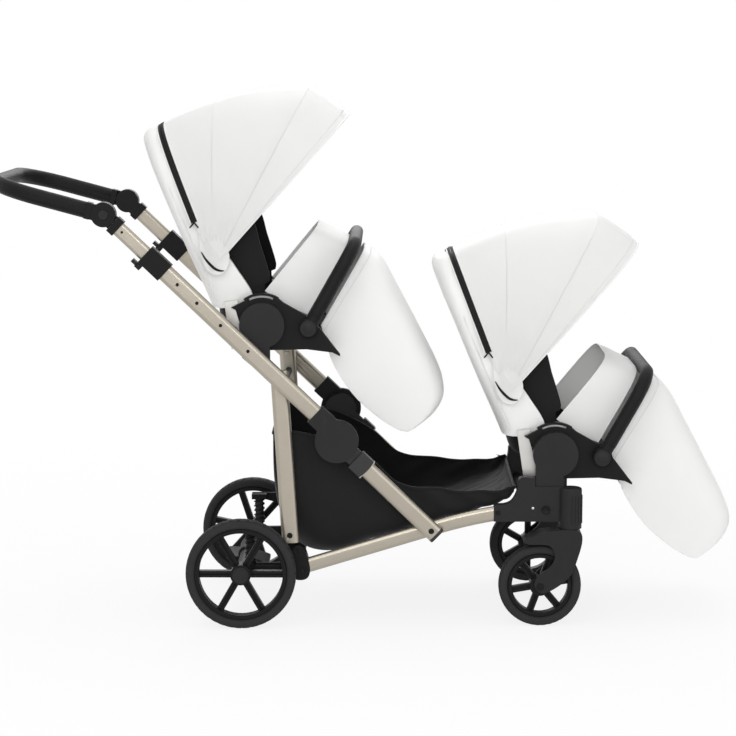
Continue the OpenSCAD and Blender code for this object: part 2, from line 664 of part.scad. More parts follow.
module handle_knuckles() color(black) place() both() difference() {
    union() {
        bar(handle_joint, handle_joint_r, joint_split_y, knuckle_out_y);
        translate([0, (joint_split_y + knuckle_out_y) / 2, 0])
            run(handle_joint, handle_joint + knuckle_run * handle_u)
                square([knuckle_out_y - joint_split_y - 2 * layer_gap, grip_h], center = true);
        translate([0, frame_y, 0])
            run(handle_joint + (handle_joint_r + over) * handle_u, handle_joint + knuckle_run * handle_u)
                square([clamp_w - layer_gap, grip_h + hub_skin], center = true);
    }
    bar(handle_joint, joint_pin_r + run_fit, 0, knuckle_out_y);
    bar(handle_joint, button_r + soft_gap, knuckle_out_y - recess_h, knuckle_out_y + over);
}
module handle_button(s) color(dark) place() mirror([0, s < 0 ? 1 : 0, 0])
    bar(handle_joint, button_r, knuckle_out_y - button_t + button_proud, knuckle_out_y + button_proud);
module handle_bar() color(black) place() at(handle_joint) rotate([0, handle_tilt, 0]) {
    both() translate([-handle_reach + grip_bend, frame_y, 0]) rotate([90, 0, 90])
        linear_extrude(handle_reach - grip_bend - knuckle_run) oval(grip_w, grip_h);
    both() translate([-handle_reach + grip_bend, frame_y - grip_bend, 0]) rotate([0, 0, 90])
        rotate_extrude(angle = 90) translate([grip_bend, 0]) oval(grip_w, grip_h);
    translate([-handle_reach, -frame_y + grip_bend, 0]) rotate([-90, 0, 0])
        linear_extrude(frame_w - 2 * grip_bend) oval(grip_w, grip_h);
}

// Seat unit: all of it is drawn around its hub at the origin of the side plane
plate_shares = [[-0.4, 0.54], [-0.14, 0.85], [0, 0.99], [0.2, 0.85], [0.27, 0.7], [0.57, 0.28], [0.73, -0.08],
    [1, -0.94], [1, -1], [0.9, -0.88], [0.57, -0.78], [0.05, -0.81], [-0.2, -0.69], [-0.34, 0.46]];
plate_len = 196;
plate_h = 80;
swing_pin_r = 10;
bumper_pivot = [117, -6];
bumper_angle = 61;
boss_r = 24;
boss_t = 16;
key_w = 14;
key_t = 5;
bumper_y = disc_in_y + soft_gap + boss_t;

module seat_hubs() difference() {
    both() union() {
        bar([0, 0], seat_hub_r, disc_in_y, seat_face_y);
        plate([[-neck_back, 0], [-neck_back, -neck_drop], [neck_front, -neck_drop], [neck_front, 0]],
            disc_in_y, seat_face_y);
    }
    both() tongue([0, 0], slide_fit);
}
strap_gap = 11;
strap_slot = 6;
strap_t = 6;
strap_from = 58;
strap_to = 126;
strap_end = 8;
strap_slot_r = seat_hub_r + strap_gap;
// Sector of a ring in the side plane
module ring_sector(r0, r1, a0, a1, y0, y1) translate([0, y1, 0]) rotate([90, 0, 0]) linear_extrude(y1 - y0)
    intersection() {
        difference() {
            circle(r = r1);
            circle(r = r0);
        }
        polygon(concat([[0, 0]], [for (t = [0, 1 / 2, 1]) 2 * r1 * dir(mix(a0, a1, t))]));
    }
module seat_plates() both() difference() {
    union() {
        plate(size2(plate_shares, plate_len, plate_h), plate_in_y, disc_in_y);
        ring_sector(seat_hub_r / 2, strap_slot_r + strap_slot + strap_t, strap_from, strap_to,
            plate_in_y + layer_gap, disc_in_y - layer_gap);
    }
    ring_sector(strap_slot_r, strap_slot_r + strap_slot, strap_from + strap_end, strap_to - strap_end,
        plate_in_y - over, disc_in_y + over);
    bar([0, 0], swing_pin_r + run_fit, plate_in_y - over, disc_in_y + over);
    translate([0, disc_in_y - key_t, 0]) at(bumper_pivot) rotate([0, -bumper_angle, 0])
        translate([-key_w / 2 - slide_fit, 0, -key_w / 2 - slide_fit])
            cube([plate_len, key_t + over, key_w + 2 * slide_fit]);
}
pan_lip = 3;
pan_back = 70;
pan_low = 58;
pan_high = 22;
cover_rear = [foot_foot_shares[0] * cover_len, foot_foot_shares[1] * cover_len];
pan_front = mix(cover_rear[0], cover_rear[1],
    (-pan_high - cover_rear[0][1]) / (cover_rear[1][1] - cover_rear[0][1]))[0] - soft_gap;
pan_rod_r = 10;
pan_rod = [60, -42];
module seat_pan() {
    plate([[-pan_back, -pan_high], [-pan_back, -pan_low], [pan_front, -pan_low], [pan_front, -pan_high]],
        -pan_half, pan_half);
    bar(pan_rod, pan_rod_r, -plate_in_y, plate_in_y);
}
// Seat pad: a cushion with a crown and drawn in sides
pad_back = 56;
pad_front = pan_front - pan_lip;
pad_t = 24;
pad_crown = 8;
pad_draw = 6;
pad_steps = 8;
function pad_point(i, j, draw, z, puff) = let (u = 2 * i / pad_steps - 1, v = 2 * j / pad_steps - 1)
    [mix(-pad_back + draw, pad_front - draw, i / pad_steps), (pad_half - draw) * v,
     z + puff * (1 - pow(u, 4)) * (1 - pow(v, 4))];
module seat_pad() {
    k = pad_steps + 1;
    f = k * k;
    low = [for (i = [0:pad_steps], j = [0:pad_steps]) pad_point(i, j, pad_draw, -pan_high, 0)];
    top = [for (i = [0:pad_steps], j = [0:pad_steps]) pad_point(i, j, pad_draw, -pan_high + pad_t, pad_crown)];
    mid = [for (i = [0:pad_steps], j = [0:pad_steps]) pad_point(i, j, 0, -pan_high + pad_t / 2, 0)];
    flat = [for (i = [0:pad_steps - 1], j = [0:pad_steps - 1]) let (a = i * k + j) each
        [[a, a + k, a + k + 1], [a, a + k + 1, a + 1]]];
    tops = [for (t = flat) [t[0] + f, t[2] + f, t[1] + f]];
    edge = concat([for (j = [0:pad_steps - 1]) j], [for (i = [0:pad_steps - 1]) i * k + pad_steps],
        [for (j = [pad_steps:-1:1]) pad_steps * k + j], [for (i = [pad_steps:-1:1]) i * k]);
    // The rim bulges: low edge to middle edge to top edge
    rim = [for (e = edge) mid[e]];
    n = len(edge);
    walls = [for (i = [0:n - 1])
        let (a = edge[i], b = edge[(i + 1) % n], c = 2 * f + i, d = 2 * f + (i + 1) % n) each
        [[a, b, d], [a, d, c], [c, d, b + f], [c, b + f, a + f]]];
    polyhedron(concat(low, top, rim), concat(flat, tops, walls), convexity = 4);
}

// Back: a swinging frame, a padded cover and a liner with side wings
back_angle = 113.2;
back_u = dir(back_angle);
back_f = dir(back_angle - 90);
back_low = [-133, 40];
function on_back(s, f) = back_low + back_len * s * back_u + f * back_f;
frame_tube_h = 34;
frame_tube_w = 11;
frame_top = [-80, 58];
frame_foot = [-62, -62];
swing_r = 34;
module back_frame() both() {
    translate([0, (swing_in_y + swing_out_y) / 2, 0]) {
        run(frame_foot, frame_top) square([swing_t, frame_tube_h], center = true);
        run([0, 0], mix(frame_foot, frame_top, 0.5)) square([swing_t, 2 * swing_r], center = true);
    }
    bar([0, 0], swing_r, swing_in_y, swing_out_y);
    bar([0, 0], swing_pin_r, swing_out_y - over, disc_in_y - soft_gap);
}
wing_depth = 95;
cover_foot_shares = [[-0.063, 0.67], [-0.036, 1.16], [0.13, 1.07], [0.25, 0.93], [0.42, 0.65], [0.62, 0.6],
    [0.84, 0.58], [0.96, 0.57], [1, 0.55]];
cover_at_shares = [0, 0.03, 0.13, 0.25, 0.42, 0.62, 0.84, 0.96, 1];
// Half width and squareness of the back by its height, rounded at the head end
cover_half_shares = [[0, 1], [0.62, 1], [0.84, 0.955], [0.96, 0.745], [1, 0.565]];
cover_square_shares = [[0, 6], [0.62, 6], [0.84, 4.6], [0.96, 3.6], [1, 3.2]];
back_wall = 24;
// Head end of the back, drawn in under the zip
head_at_shares = [0.97, 1, 1.01, 1.014];
head_foot_shares = [0.555, 0.55, 0.545, 0.54];
head_depth_shares = [0.04, 0.05, 0.21, 0.4];
head_half_shares = [0.675, 0.545, 0.45, 0.34];
head_wall = 8;
head_square_share = 3;
module seat_back() {
    arch_shell([for (p = cover_foot_shares) on_back(p[0], wing_depth * p[1])],
        [for (s = cover_at_shares) on_back(s, 0)],
        [for (s = cover_at_shares) back_half * lookup(s, cover_half_shares)], back_wall,
        [for (s = cover_at_shares) lookup(s, cover_square_shares)]);
    arch_shell([for (i = [0:len(head_at_shares) - 1])
            on_back(head_at_shares[i], wing_depth * head_foot_shares[i])],
        [for (i = [0:len(head_at_shares) - 1]) on_back(head_at_shares[i], wing_depth * head_depth_shares[i])],
        back_half * head_half_shares, head_wall, head_square_share);
}
liner_wall = 8;
liner_gap = 0.9;
liner_square_shares = [[0, 6], [0.62, 6], [0.84, 4.2], [0.94, 3]];
liner_depth_shares = [1.22, 1.58, 1.87, 1.95, 1.58, 0.74, 0.65, 0.53];
liner_at_shares = [0.03, 0.1, 0.2, 0.36, 0.5, 0.62, 0.84, 0.94];
module seat_liner()
    arch_shell([for (i = [0:len(liner_at_shares) - 1])
        on_back(liner_at_shares[i], wing_depth * liner_depth_shares[i])],
        [for (s = liner_at_shares) on_back(s, back_wall + liner_gap)],
        [for (s = liner_at_shares) back_half * lookup(s, cover_half_shares) - back_wall - liner_gap], liner_wall,
        [for (s = liner_at_shares) lookup(s, liner_square_shares)]);

// Canopy: a fan about its pivot from the zip to the peak, and its front bow
canopy_pivot = [-125, 140];
canopy_from = 111;
canopy_to = 48;
canopy_steps = 12;
canopy_rear_share = 0.745;
bow_angle = 62;
canopy_ease_share = 0.45;
function canopy_reach(a) = let (t = (canopy_from - a) / (canopy_from - bow_angle))
    canopy_r * (t < 1 ? mix(canopy_rear_share, 1, mix(t * t, t, canopy_ease_share)) : 1);
canopy_hem = 26;
module seat_canopy() {
    angles = [for (i = [0:canopy_steps]) mix(canopy_from, canopy_to, i / canopy_steps)];
    arch_shell([for (a = angles) canopy_pivot + canopy_hem * dir(a)],
        [for (a = angles) canopy_pivot + canopy_reach(a) * dir(a)], [for (a = angles) canopy_half],
        canopy_wall, canopy_square_share);
}
bow_sides = 8;
bow_steps = 24;
bow_inset = 14;
eye_r = 11;
bow_square_share = 3.7;
function bow_c(j) = let (c = cos(180 * j / bow_steps)) sign(c) * pow(abs(c), 2 / bow_square_share);
function bow_s(j) = pow(abs(sin(180 * j / bow_steps)), 2 / bow_square_share);
module seat_bow() {
    reach = canopy_r - bow_inset;
    path = [for (j = [0:bow_steps]) let (q = canopy_pivot + reach * bow_s(j) * dir(bow_angle))
        [q[0], bow_half * bow_c(j), q[1]]];
    sweep(path, bow_r, bow_sides);
    both() bar(canopy_pivot, eye_r, bow_half - bow_r, bow_half + bow_r);
}
// Round tube along a path
function unit(v) = v / norm(v);
module sweep(path, r, sides) {
    n = len(path) - 1;
    side_v = [dir(bow_angle + 90)[0], 0, dir(bow_angle + 90)[1]];
    rings = [for (i = [0:n]) let (t = unit(path[min(i + 1, n)] - path[max(i - 1, 0)]), b = cross(t, side_v))
        for (k = [0:sides - 1]) path[i] + r * (cos(360 * k / sides) * side_v + sin(360 * k / sides) * b)];
    faces = [for (i = [0:n - 1], k = [0:sides - 1])
        let (a = i * sides + k, b = i * sides + (k + 1) % sides) each
        [[a, b + sides, b], [a, a + sides, b + sides]]];
    ends = [for (k = [1:sides - 2]) each [[0, k, k + 1], [n * sides, n * sides + k + 1, n * sides + k]]];
    polyhedron(rings, concat(faces, ends), convexity = 6);
}

// Bumper bar: two arms and a cross bar, keyed into slots of the seat plates
bumper_bend = 70;
module seat_bumper() at(bumper_pivot) rotate([0, -bumper_angle, 0]) {
    both() {
        translate([0, disc_in_y + soft_gap, 0]) rotate([-90, 0, 0]) cylinder(r = boss_r, h = 2 * boss_t);
        translate([-key_w / 2, disc_in_y - key_t + slide_fit, -key_w / 2])
            cube([key_w + boss_r / 2, key_t + over, key_w]);
        translate([0, bumper_y, 0]) rotate([0, 90, 0]) cylinder(d = bumper_d, h = bumper_reach - bumper_bend);
        translate([bumper_reach - bumper_bend, bumper_y - bumper_bend, 0])
            rotate_extrude(angle = 90) translate([bumper_bend, 0]) circle(d = bumper_d);
    }
    translate([bumper_reach, -bumper_y + bumper_bend, 0]) rotate([-90, 0, 0])
        cylinder(d = bumper_d, h = 2 * bumper_y - 2 * bumper_bend);
}

// Apron behind the bar and foot cover in front of it
apron_wall = 5;
apron_len = 240;
apron_foot_shares = [[0.02, 0.34], [0.21, 0.2], [0.37, 0.13], [0.47, 0.09]];
apron_crown_shares = [[0.56, 1], [0.67, 0.955], [0.78, 0.9]];
apron_hook_angle = 182;
bumper_end = bumper_pivot + bumper_reach * dir(bumper_angle);
apron_hook = bumper_end + (bumper_d / 2 + soft_gap) * dir(apron_hook_angle);
module seat_apron() arch_shell(apron_foot_shares * apron_len,
    concat(apron_crown_shares * apron_len, [apron_hook]),
    [for (p = apron_foot_shares) apron_half], apron_wall, soft_square_share);
cover_wall = 8;
module seat_foot_cover() arch_shell(foot_foot_shares * cover_len, foot_crown_shares * cover_len,
    [for (p = foot_foot_shares) cover_half], cover_wall, soft_square_share);
rest_shares = [[0.46, -0.13], [0.52, -0.265], [0.63, -0.44], [0.77, -0.58], [0.79, -0.56], [0.66, -0.42],
    [0.55, -0.25], [0.495, -0.115]];
rest_gap = 0.9;
rest_half = cover_half - cover_wall - rest_gap;
// Hinge rod of the footrest and the lugs that carry it
rest_pivot = [168, -40];
rest_rod_r = 9;
rest_lug_shares = [[0.42, -0.125], [0.5, -0.165], [0.5, -0.12], [0.42, -0.076]];
module seat_footrest() {
    plate(rest_shares * cover_len, -rest_half, rest_half);
    plate(rest_lug_shares * cover_len, -rest_half + layer_gap, rest_half - layer_gap);
    bar(rest_pivot, rest_rod_r, -rest_half + layer_gap + over, rest_half - layer_gap - over);
}

module rear(c) color(c) place() at(rear_seat) children();
module front(c) color(c) place() at(front_seat) children();

lower_rails();
cross_tubes();
front_brackets();
rear_brackets();
frame_pins();
basket();
axle_frame();
springs();
brake_pedal();
rear_tyre(1);  // rear_tyre_left
rear_rim(1);  // rear_rim_left
rear_tyre(-1);  // rear_tyre_right
rear_rim(-1);  // rear_rim_right
fork(1);  // fork_left
fork(-1);  // fork_right
front_tyre(1);  // front_tyre_left
front_rim(1);  // front_rim_left
front_tyre(-1);  // front_tyre_right
front_rim(-1);  // front_rim_right
rear_legs();
leg_brace();
main_tubes();
hub_covers();
seat_adapters();
height_clamps();
struts();
clamp_lever(1);  // clamp_lever_left
clamp_lever(-1);  // clamp_lever_right
handle_tubes();
handle_joints();
handle_knuckles();
handle_bar();
handle_button(1);  // handle_button_left
handle_button(-1);  // handle_button_right
rear(dark) seat_hubs();  // rear_seat_hubs
rear(black) seat_plates();  // rear_seat_plates
rear(black) seat_pan();  // rear_seat_pan
rear(black) seat_pad();  // rear_seat_pad
rear(silver) back_frame();  // rear_seat_back_frame
rear(white) seat_back();  // rear_seat_back
rear(black) seat_liner();  // rear_seat_liner
rear(white) seat_canopy();  // rear_seat_canopy
rear(black) seat_bow();  // rear_seat_bow
rear(black) seat_bumper();  // rear_seat_bumper
rear(white) seat_apron();  // rear_seat_apron
rear(white) seat_foot_cover();  // rear_seat_foot_cover
rear(black) seat_footrest();  // rear_seat_footrest
front(dark) seat_hubs();  // front_seat_hubs
front(black) seat_plates();  // front_seat_plates
front(black) seat_pan();  // front_seat_pan
front(black) seat_pad();  // front_seat_pad
front(silver) back_frame();  // front_seat_back_frame
front(white) seat_back();  // front_seat_back
front(black) seat_liner();  // front_seat_liner
front(white) seat_canopy();  // front_seat_canopy
front(black) seat_bow();  // front_seat_bow
front(black) seat_bumper();  // front_seat_bumper
front(white) seat_apron();  // front_seat_apron
front(white) seat_foot_cover();  // front_seat_foot_cover
front(black) seat_footrest();  // front_seat_footrest
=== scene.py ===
"""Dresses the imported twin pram: cloth, padding, tyres, trim, finishes and a plain studio."""

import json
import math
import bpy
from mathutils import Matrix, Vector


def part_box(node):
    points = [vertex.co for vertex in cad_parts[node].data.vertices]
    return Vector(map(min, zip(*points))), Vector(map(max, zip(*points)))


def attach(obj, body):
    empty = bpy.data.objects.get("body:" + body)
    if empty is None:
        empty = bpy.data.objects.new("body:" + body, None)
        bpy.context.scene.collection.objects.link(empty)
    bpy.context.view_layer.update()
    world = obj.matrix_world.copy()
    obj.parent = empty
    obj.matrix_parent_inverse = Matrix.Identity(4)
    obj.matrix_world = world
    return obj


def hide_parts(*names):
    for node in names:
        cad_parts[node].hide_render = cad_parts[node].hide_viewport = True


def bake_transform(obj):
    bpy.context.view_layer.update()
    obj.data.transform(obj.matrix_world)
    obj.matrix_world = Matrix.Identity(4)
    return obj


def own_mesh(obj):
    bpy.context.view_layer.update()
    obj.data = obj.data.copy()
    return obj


bl_info = {
    "name": "Twin Pram Dresser",
    "version": (1, 0, 0),
    "blender": (4, 5, 0),
    "location": "View3D > Sidebar > Twin Pram",
    "description": "Cloth, padding, tyres, trim and finishes for the packed twin pram",
    "category": "Object",
}

import bmesh
import bpy
from mathutils import Matrix, Vector

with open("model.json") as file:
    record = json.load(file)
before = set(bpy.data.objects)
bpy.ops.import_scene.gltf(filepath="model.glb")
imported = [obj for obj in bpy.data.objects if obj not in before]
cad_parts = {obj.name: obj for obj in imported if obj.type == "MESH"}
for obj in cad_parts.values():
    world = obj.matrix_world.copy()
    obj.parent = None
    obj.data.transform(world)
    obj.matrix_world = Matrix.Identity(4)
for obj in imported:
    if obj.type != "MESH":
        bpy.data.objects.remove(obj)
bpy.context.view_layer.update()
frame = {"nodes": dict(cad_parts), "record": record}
MM = 0.001
CENTRE_X = 313.806  # the part's own middle, which its source moves to x = 0
HUB_RADIUS = 57
WELD_GAP = 0.00002
SMOOTH_ANGLE = 42
SEATS = ("rear_seat", "front_seat")
SIDES = {"left": 1, "right": -1}


def span(name, description, default):
    """A length property."""
    return bpy.props.FloatProperty(name=name, description=description, default=default, unit="LENGTH")


def hue(name, description, default):
    """A colour property."""
    return bpy.props.FloatVectorProperty(name=name, description=description, default=default, subtype="COLOR")


class PramSizes(bpy.types.PropertyGroup):
    """Sizes of the cloth and trim"""
    canopy_cloth: span("Canopy cloth", "Thickness of the canopy", 0.0016)
    back_pad: span("Back padding", "Thickness of a back cover", 0.019)
    liner_pad: span("Liner padding", "Thickness of a liner", 0.007)
    apron_cloth: span("Apron cloth", "Thickness of an apron", 0.003)
    foot_pad: span("Foot cover padding", "Thickness of a foot cover", 0.007)
    basket_cloth: span("Basket cloth", "Thickness of the basket", 0.002)
    piping: span("Piping", "Radius of the piping cord", 0.0022)
    zip_width: span("Zip tape", "Width of the zip's tape", 0.017)
    tooth_pitch: span("Zip tooth pitch", "Distance between zip teeth", 0.0042)
    pad_swell: span("Pad swell", "How far a seat pad may puff up", 0.006)


class PramColours(bpy.types.PropertyGroup):
    """Colours of the finishes"""
    white: hue("White cloth", "Coated white cloth", (0.83, 0.828, 0.815))
    champagne: hue("Champagne", "Anodised tubes", (0.388, 0.354, 0.296))
    silver: hue("Silver", "Satin marks", (0.60, 0.59, 0.57))
    black: hue("Black", "Black plastic and cloth", (0.0062, 0.0062, 0.0064))
    graphite: hue("Graphite", "Dark grey plastic", (0.0185, 0.0185, 0.0193))


# Shader sums

class Wire:
    """A shader value that takes part in sums; each sum adds one Math node."""

    def __init__(self, tree, socket):
        self.tree = tree
        self.socket = socket

    def sum(self, operation, *terms):
        node = self.tree.nodes.new("ShaderNodeMath")
        node.operation = operation
        for place, term in zip(node.inputs, terms):
            if isinstance(term, Wire):
                self.tree.links.new(term.socket, place)
            else:
                place.default_value = term
        return Wire(self.tree, node.outputs[0])

    def __add__(self, other):
        return self.sum("ADD", self, other)

    def __mul__(self, other):
        return self.sum("MULTIPLY", self, other)

    def __sub__(self, other):
        return self.sum("SUBTRACT", self, other)

    def __lt__(self, other):
        return self.sum("LESS_THAN", self, other)

    def __gt__(self, other):
        return self.sum("GREATER_THAN", self, other)

    def __pow__(self, other):
        return self.sum("POWER", self, other)

    def __abs__(self):
        return self.sum("ABSOLUTE", self)

    def sine(self):
        return self.sum("SINE", self)

    def root(self):
        return self.sum("SQRT", self)


class Finish:
    """A material in the making: one shader, and nodes added through one method."""

    def __init__(self, name, colour, roughness, **constants):
        self.material = bpy.data.materials.new(name)
        self.material.use_nodes = True
        self.tree = self.material.node_tree
        self.shader = self.tree.nodes["Principled BSDF"]
        self.colour = tuple(colour)[:3]
        self.material.diffuse_color = (*self.colour, 1)
        self.shader.inputs["Base Color"].default_value = (*self.colour, 1)
        self.shader.inputs["Roughness"].default_value = roughness
        for socket, value in constants.items():
            self.shader.inputs[socket.replace("_", " ").title().replace("Ior", "IOR")].default_value = value

    def node(self, kind, settings=None, output=0, **sockets):
        made = self.tree.nodes.new(kind)
        for key, value in (settings or {}).items():
            setattr(made, key, value)
        places = {s.identifier: s for s in made.inputs}
        for key, value in sockets.items():
            place = places.get(key) or made.inputs[key]
            if isinstance(value, Wire):
                self.tree.links.new(value.socket, place)
            else:
                place.default_value = value
        outputs = {s.identifier: s for s in made.outputs}
        return Wire(self.tree, outputs.get(output) or made.outputs[output])

    def place(self, output="Object"):
        return self.node("ShaderNodeTexCoord", output=output)

    def stretched(self, scale):
        return self.node("ShaderNodeMapping", Vector=self.place(), Scale=scale)

    def noise(self, scale, detail=2.0, vector=None):
        return self.node("ShaderNodeTexNoise", Vector=vector or self.place(), Scale=scale, Detail=detail)

    def feed(self, socket, wire):
        self.tree.links.new(wire.socket, self.shader.inputs[socket])

    def tint(self, wire, dark, light):
        """Varies the colour between two strengths of itself."""
        low = (*[c * dark for c in self.colour], 1)
        high = (*[min(c * light, 1) for c in self.colour], 1)
        return self.blend(wire, low, high)

    def blend(self, wire, first, second):
        """Mixes two colours by a value."""
        return self.node("ShaderNodeMix", {"data_type": "RGBA"}, output="Result_Color",
                         Factor_Float=wire, A_Color=first, B_Color=second)

    def relief(self, wire, depth, strength):
        self.feed("Normal", self.node("ShaderNodeBump", Height=wire, Distance=depth, Strength=strength))

    def axes(self, output="Object"):
        place = self.place(output)
        return [self.node("ShaderNodeSeparateXYZ", output=o, Vector=place) for o in ("X", "Y", "Z")]


FINISHES = {}


def moulded(name, colour, roughness, grain, depth):
    """Moulded plastic: fine spark grain, faint flow marks and handling sheen."""
    made = Finish(name, colour, roughness, specular_ior_level=0.14)
    cloud = made.noise(9.0, 3.0)
    made.feed("Base Color", made.tint(cloud, 0.82, 1.2))
    made.feed("Roughness", cloud * 0.16 + (roughness - 0.08))
    made.relief(made.noise(grain, 2.0), depth, 0.55)
    return made


def anodised(name, colour, roughness):
    """Anodised tube: drawn streaks along the metal and faint cloudiness."""
    made = Finish(name, colour, roughness, metallic=0.88)
    streak = made.noise(60.0, 3.0, made.stretched((1.0, 9.0, 1.0)))
    cloud = made.noise(6.0, 2.0)
    made.feed("Base Color", made.tint(streak * 0.55 + cloud * 0.45, 0.93, 1.07))
    made.feed("Roughness", streak * 0.1 + cloud * 0.08 + (roughness - 0.09))
    made.relief(made.noise(1400.0, 1.0), 0.00004, 0.4)
    return made


def coated(name, colour, roughness):
    """Powder coat: fine orange peel."""
    made = Finish(name, colour, roughness, specular_ior_level=0.15)
    made.feed("Base Color", made.tint(made.noise(14.0), 0.85, 1.15))
    made.feed("Roughness", made.noise(40.0) * 0.16 + (roughness - 0.08))
    made.relief(made.noise(650.0), 0.0002, 0.4)
    return made


def leatherette(name, colour, roughness, depth, specular, sheen=0.0, subsurface=0.0):
    """Coated cloth with a pressed grain of small closed cells and soft, even handling marks."""
    made = Finish(name, colour, roughness, specular_ior_level=specular, sheen_weight=sheen,
                  subsurface_weight=subsurface, subsurface_scale=0.012)
    made.shader.inputs["Subsurface Radius"].default_value = (1, 1, 1)
    cells = made.node("ShaderNodeTexVoronoi", {"feature": "DISTANCE_TO_EDGE"}, output="Distance",
                      Vector=made.place(), Scale=620.0)
    cloud = made.noise(5.0, 3.0)
    made.feed("Base Color", made.tint(cloud, 0.965, 1.02))
    made.feed("Roughness", cloud * 0.14 + (roughness - 0.07))
    made.relief(cells * 1.4 + made.noise(240.0) * 0.6, depth, 0.6)
    return made


def woven(name, colour, roughness, pitch):
    """Plain weave drawn on the piece's own map, in metres."""
    made = Finish(name, colour, roughness, specular_ior_level=0.18, sheen_weight=0.1, sheen_roughness=0.5)
    across, along, _ = made.axes("UV")
    warp = (across * (math.pi / pitch)).sine()
    weft = (along * (math.pi / pitch)).sine()
    thread = abs(warp) * 0.5 + abs(weft) * 0.5 + warp * weft * 0.35
    cloud = made.noise(12.0, 3.0)
    made.feed("Base Color", made.tint(thread * 0.6 + cloud * 0.5, 0.65, 1.3))
    made.feed("Roughness", thread * 0.08 + (roughness - 0.05))
    made.relief(thread, pitch * 0.3, 0.5)
    return made


def rubber(name, colour):
    """Foam rubber tyre: dusty, with a faint moulding skin."""
    made = Finish(name, colour, 0.8, specular_ior_level=0.22)
    dust = made.noise(28.0, 4.0)
    made.feed("Base Color", made.tint(dust, 0.75, 1.45))
    made.feed("Roughness", dust * 0.2 + 0.68)
    made.relief(made.noise(520.0, 3.0), 0.0003, 0.6)
    return made


def hub_and_tube(name, champagne, black, centre, reach, plug):
    """A strut that is black round its hub and at its plugged end, and champagne between."""
    made = Finish(name, champagne, 0.36, metallic=0.88)
    across, _, up = made.axes()
    out = ((across - centre.x) ** 2.0 + (up - centre.z) ** 2.0).root()
    tube = (out > reach) * (out < plug)
    cloud = made.noise(8.0, 3.0)
    made.feed("Base Color", made.blend(tube, (*black, 1), made.tint(cloud, 0.94, 1.06)))
    made.feed("Metallic", tube * 0.88)
    made.feed("Roughness", cloud * 0.12 + 0.36 - tube * 0.06)
    made.relief(made.noise(900.0), 0.00012, 0.5)
    return made


class PRAM_OT_finishes(bpy.types.Operator):
    """Mixes every finish"""
    bl_idname = "pram.finishes"
    bl_label = "Finishes"

    def execute(self, context):
        colours = context.scene.pram_colours
        champagne, black = tuple(colours.champagne), tuple(colours.black)
        hub = (LEG_TOP + direction(TUBE_ANGLE) * HUB_ALONG - direction(TUBE_ANGLE + 90) * HUB_DROP) * MM
        FINISHES.update({
            "champagne_tube": anodised("champagne anodised tube", champagne, 0.36),
            "silver_tube": anodised("satin silver tube", colours.silver, 0.34),
            "black_plastic": moulded("black moulded plastic", black, 0.46, 900.0, 0.0002),
            "dark_plastic": moulded("graphite moulded plastic", colours.graphite, 0.48, 800.0, 0.00025),
            "rim_plastic": moulded("wheel plastic", black, 0.42, 1000.0, 0.00015),
            "black_steel": coated("black coated steel", black, 0.5),
            "black_alloy": coated("black coated alloy", black, 0.48),
            "tyre": rubber("tyre foam rubber", (0.021, 0.021, 0.022)),
            "leatherette": leatherette(
                "black grip leatherette", (0.0062, 0.006, 0.0058), 0.5, 0.0005, specular=0.15),
            "white_cloth": leatherette(
                "white coated cloth", colours.white, 0.5, 0.00022, specular=0.35, sheen=0.05, subsurface=0.5),
            "black_cloth": woven("black lining cloth", black, 0.72, 0.0011),
            "webbing": woven("harness webbing", (0.034, 0.034, 0.036), 0.7, 0.0016),
            "zip_tape": woven("zip tape", (0.012, 0.012, 0.012), 0.8, 0.0009),
            "thread": coated("white thread", (0.74, 0.735, 0.72), 0.7),
            "strut": hub_and_tube("strut tube and hub", champagne, black, hub, STRUT_HUB, STRUT_PLUG),
        })
        return {"FINISHED"}


# Mesh helpers

def activate(piece):
    """Selects one object alone."""
    bpy.ops.object.select_all(action="DESELECT")
    piece.select_set(True)
    bpy.context.view_layer.objects.active = piece


def apply_modifiers(piece):
    activate(piece)
    for modifier in list(piece.modifiers):
        bpy.ops.object.modifier_apply(modifier=modifier.name)


def settle(piece):
    """Writes the object's place into its mesh."""
    activate(piece)
    bpy.ops.object.transform_apply(location=True, rotation=True, scale=True)


def primitive(adder, name, **settings):
    """Adds one of Blender's own shapes under a name."""
    bpy.ops.object.select_all(action="DESELECT")
    adder(**settings)
    piece = bpy.context.active_object
    piece.name = name
    return piece


def linked(name, made):
    """Turns a bmesh into an object of the scene."""
    mesh = bpy.data.meshes.new(name)
    made.to_mesh(mesh)
    made.free()
    piece = bpy.data.objects.new(name, mesh)
    bpy.context.scene.collection.objects.link(piece)
    return piece


def bevel(piece, width, segments, angle=30):
    """Rounds the edges that turn by more than an angle in degrees."""
    edge = piece.modifiers.new("Edge", "BEVEL")
    edge.width = width
    edge.segments = segments
    edge.limit_method = "ANGLE"
    edge.angle_limit = math.radians(angle)


def step_faces(piece, chosen, steps):
    """Insets the chosen faces, given by number, in steps of (inset, rise)."""
    activate(piece)
    bpy.ops.object.mode_set(mode="EDIT")
    bpy.ops.mesh.select_mode(type="FACE")
    bpy.ops.mesh.select_all(action="DESELECT")
    bpy.ops.object.mode_set(mode="OBJECT")
    for index in chosen:
        piece.data.polygons[index].select = True
    bpy.ops.object.mode_set(mode="EDIT")
    for inset, rise in steps:
        bpy.ops.mesh.inset(thickness=inset, depth=rise)
    bpy.ops.object.mode_set(mode="OBJECT")


def dress(piece, body, finish):
    """Gives a piece its finish and its body."""
    piece.data.materials.clear()
    piece.data.materials.append(FINISHES[finish].material)
    activate(piece)
    bpy.ops.object.shade_smooth_by_angle(angle=math.radians(SMOOTH_ANGLE))
    if body:
        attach(piece, body)
    return piece


def direction(degrees):
    return Vector((math.cos(math.radians(degrees)), 0, math.sin(math.radians(degrees))))


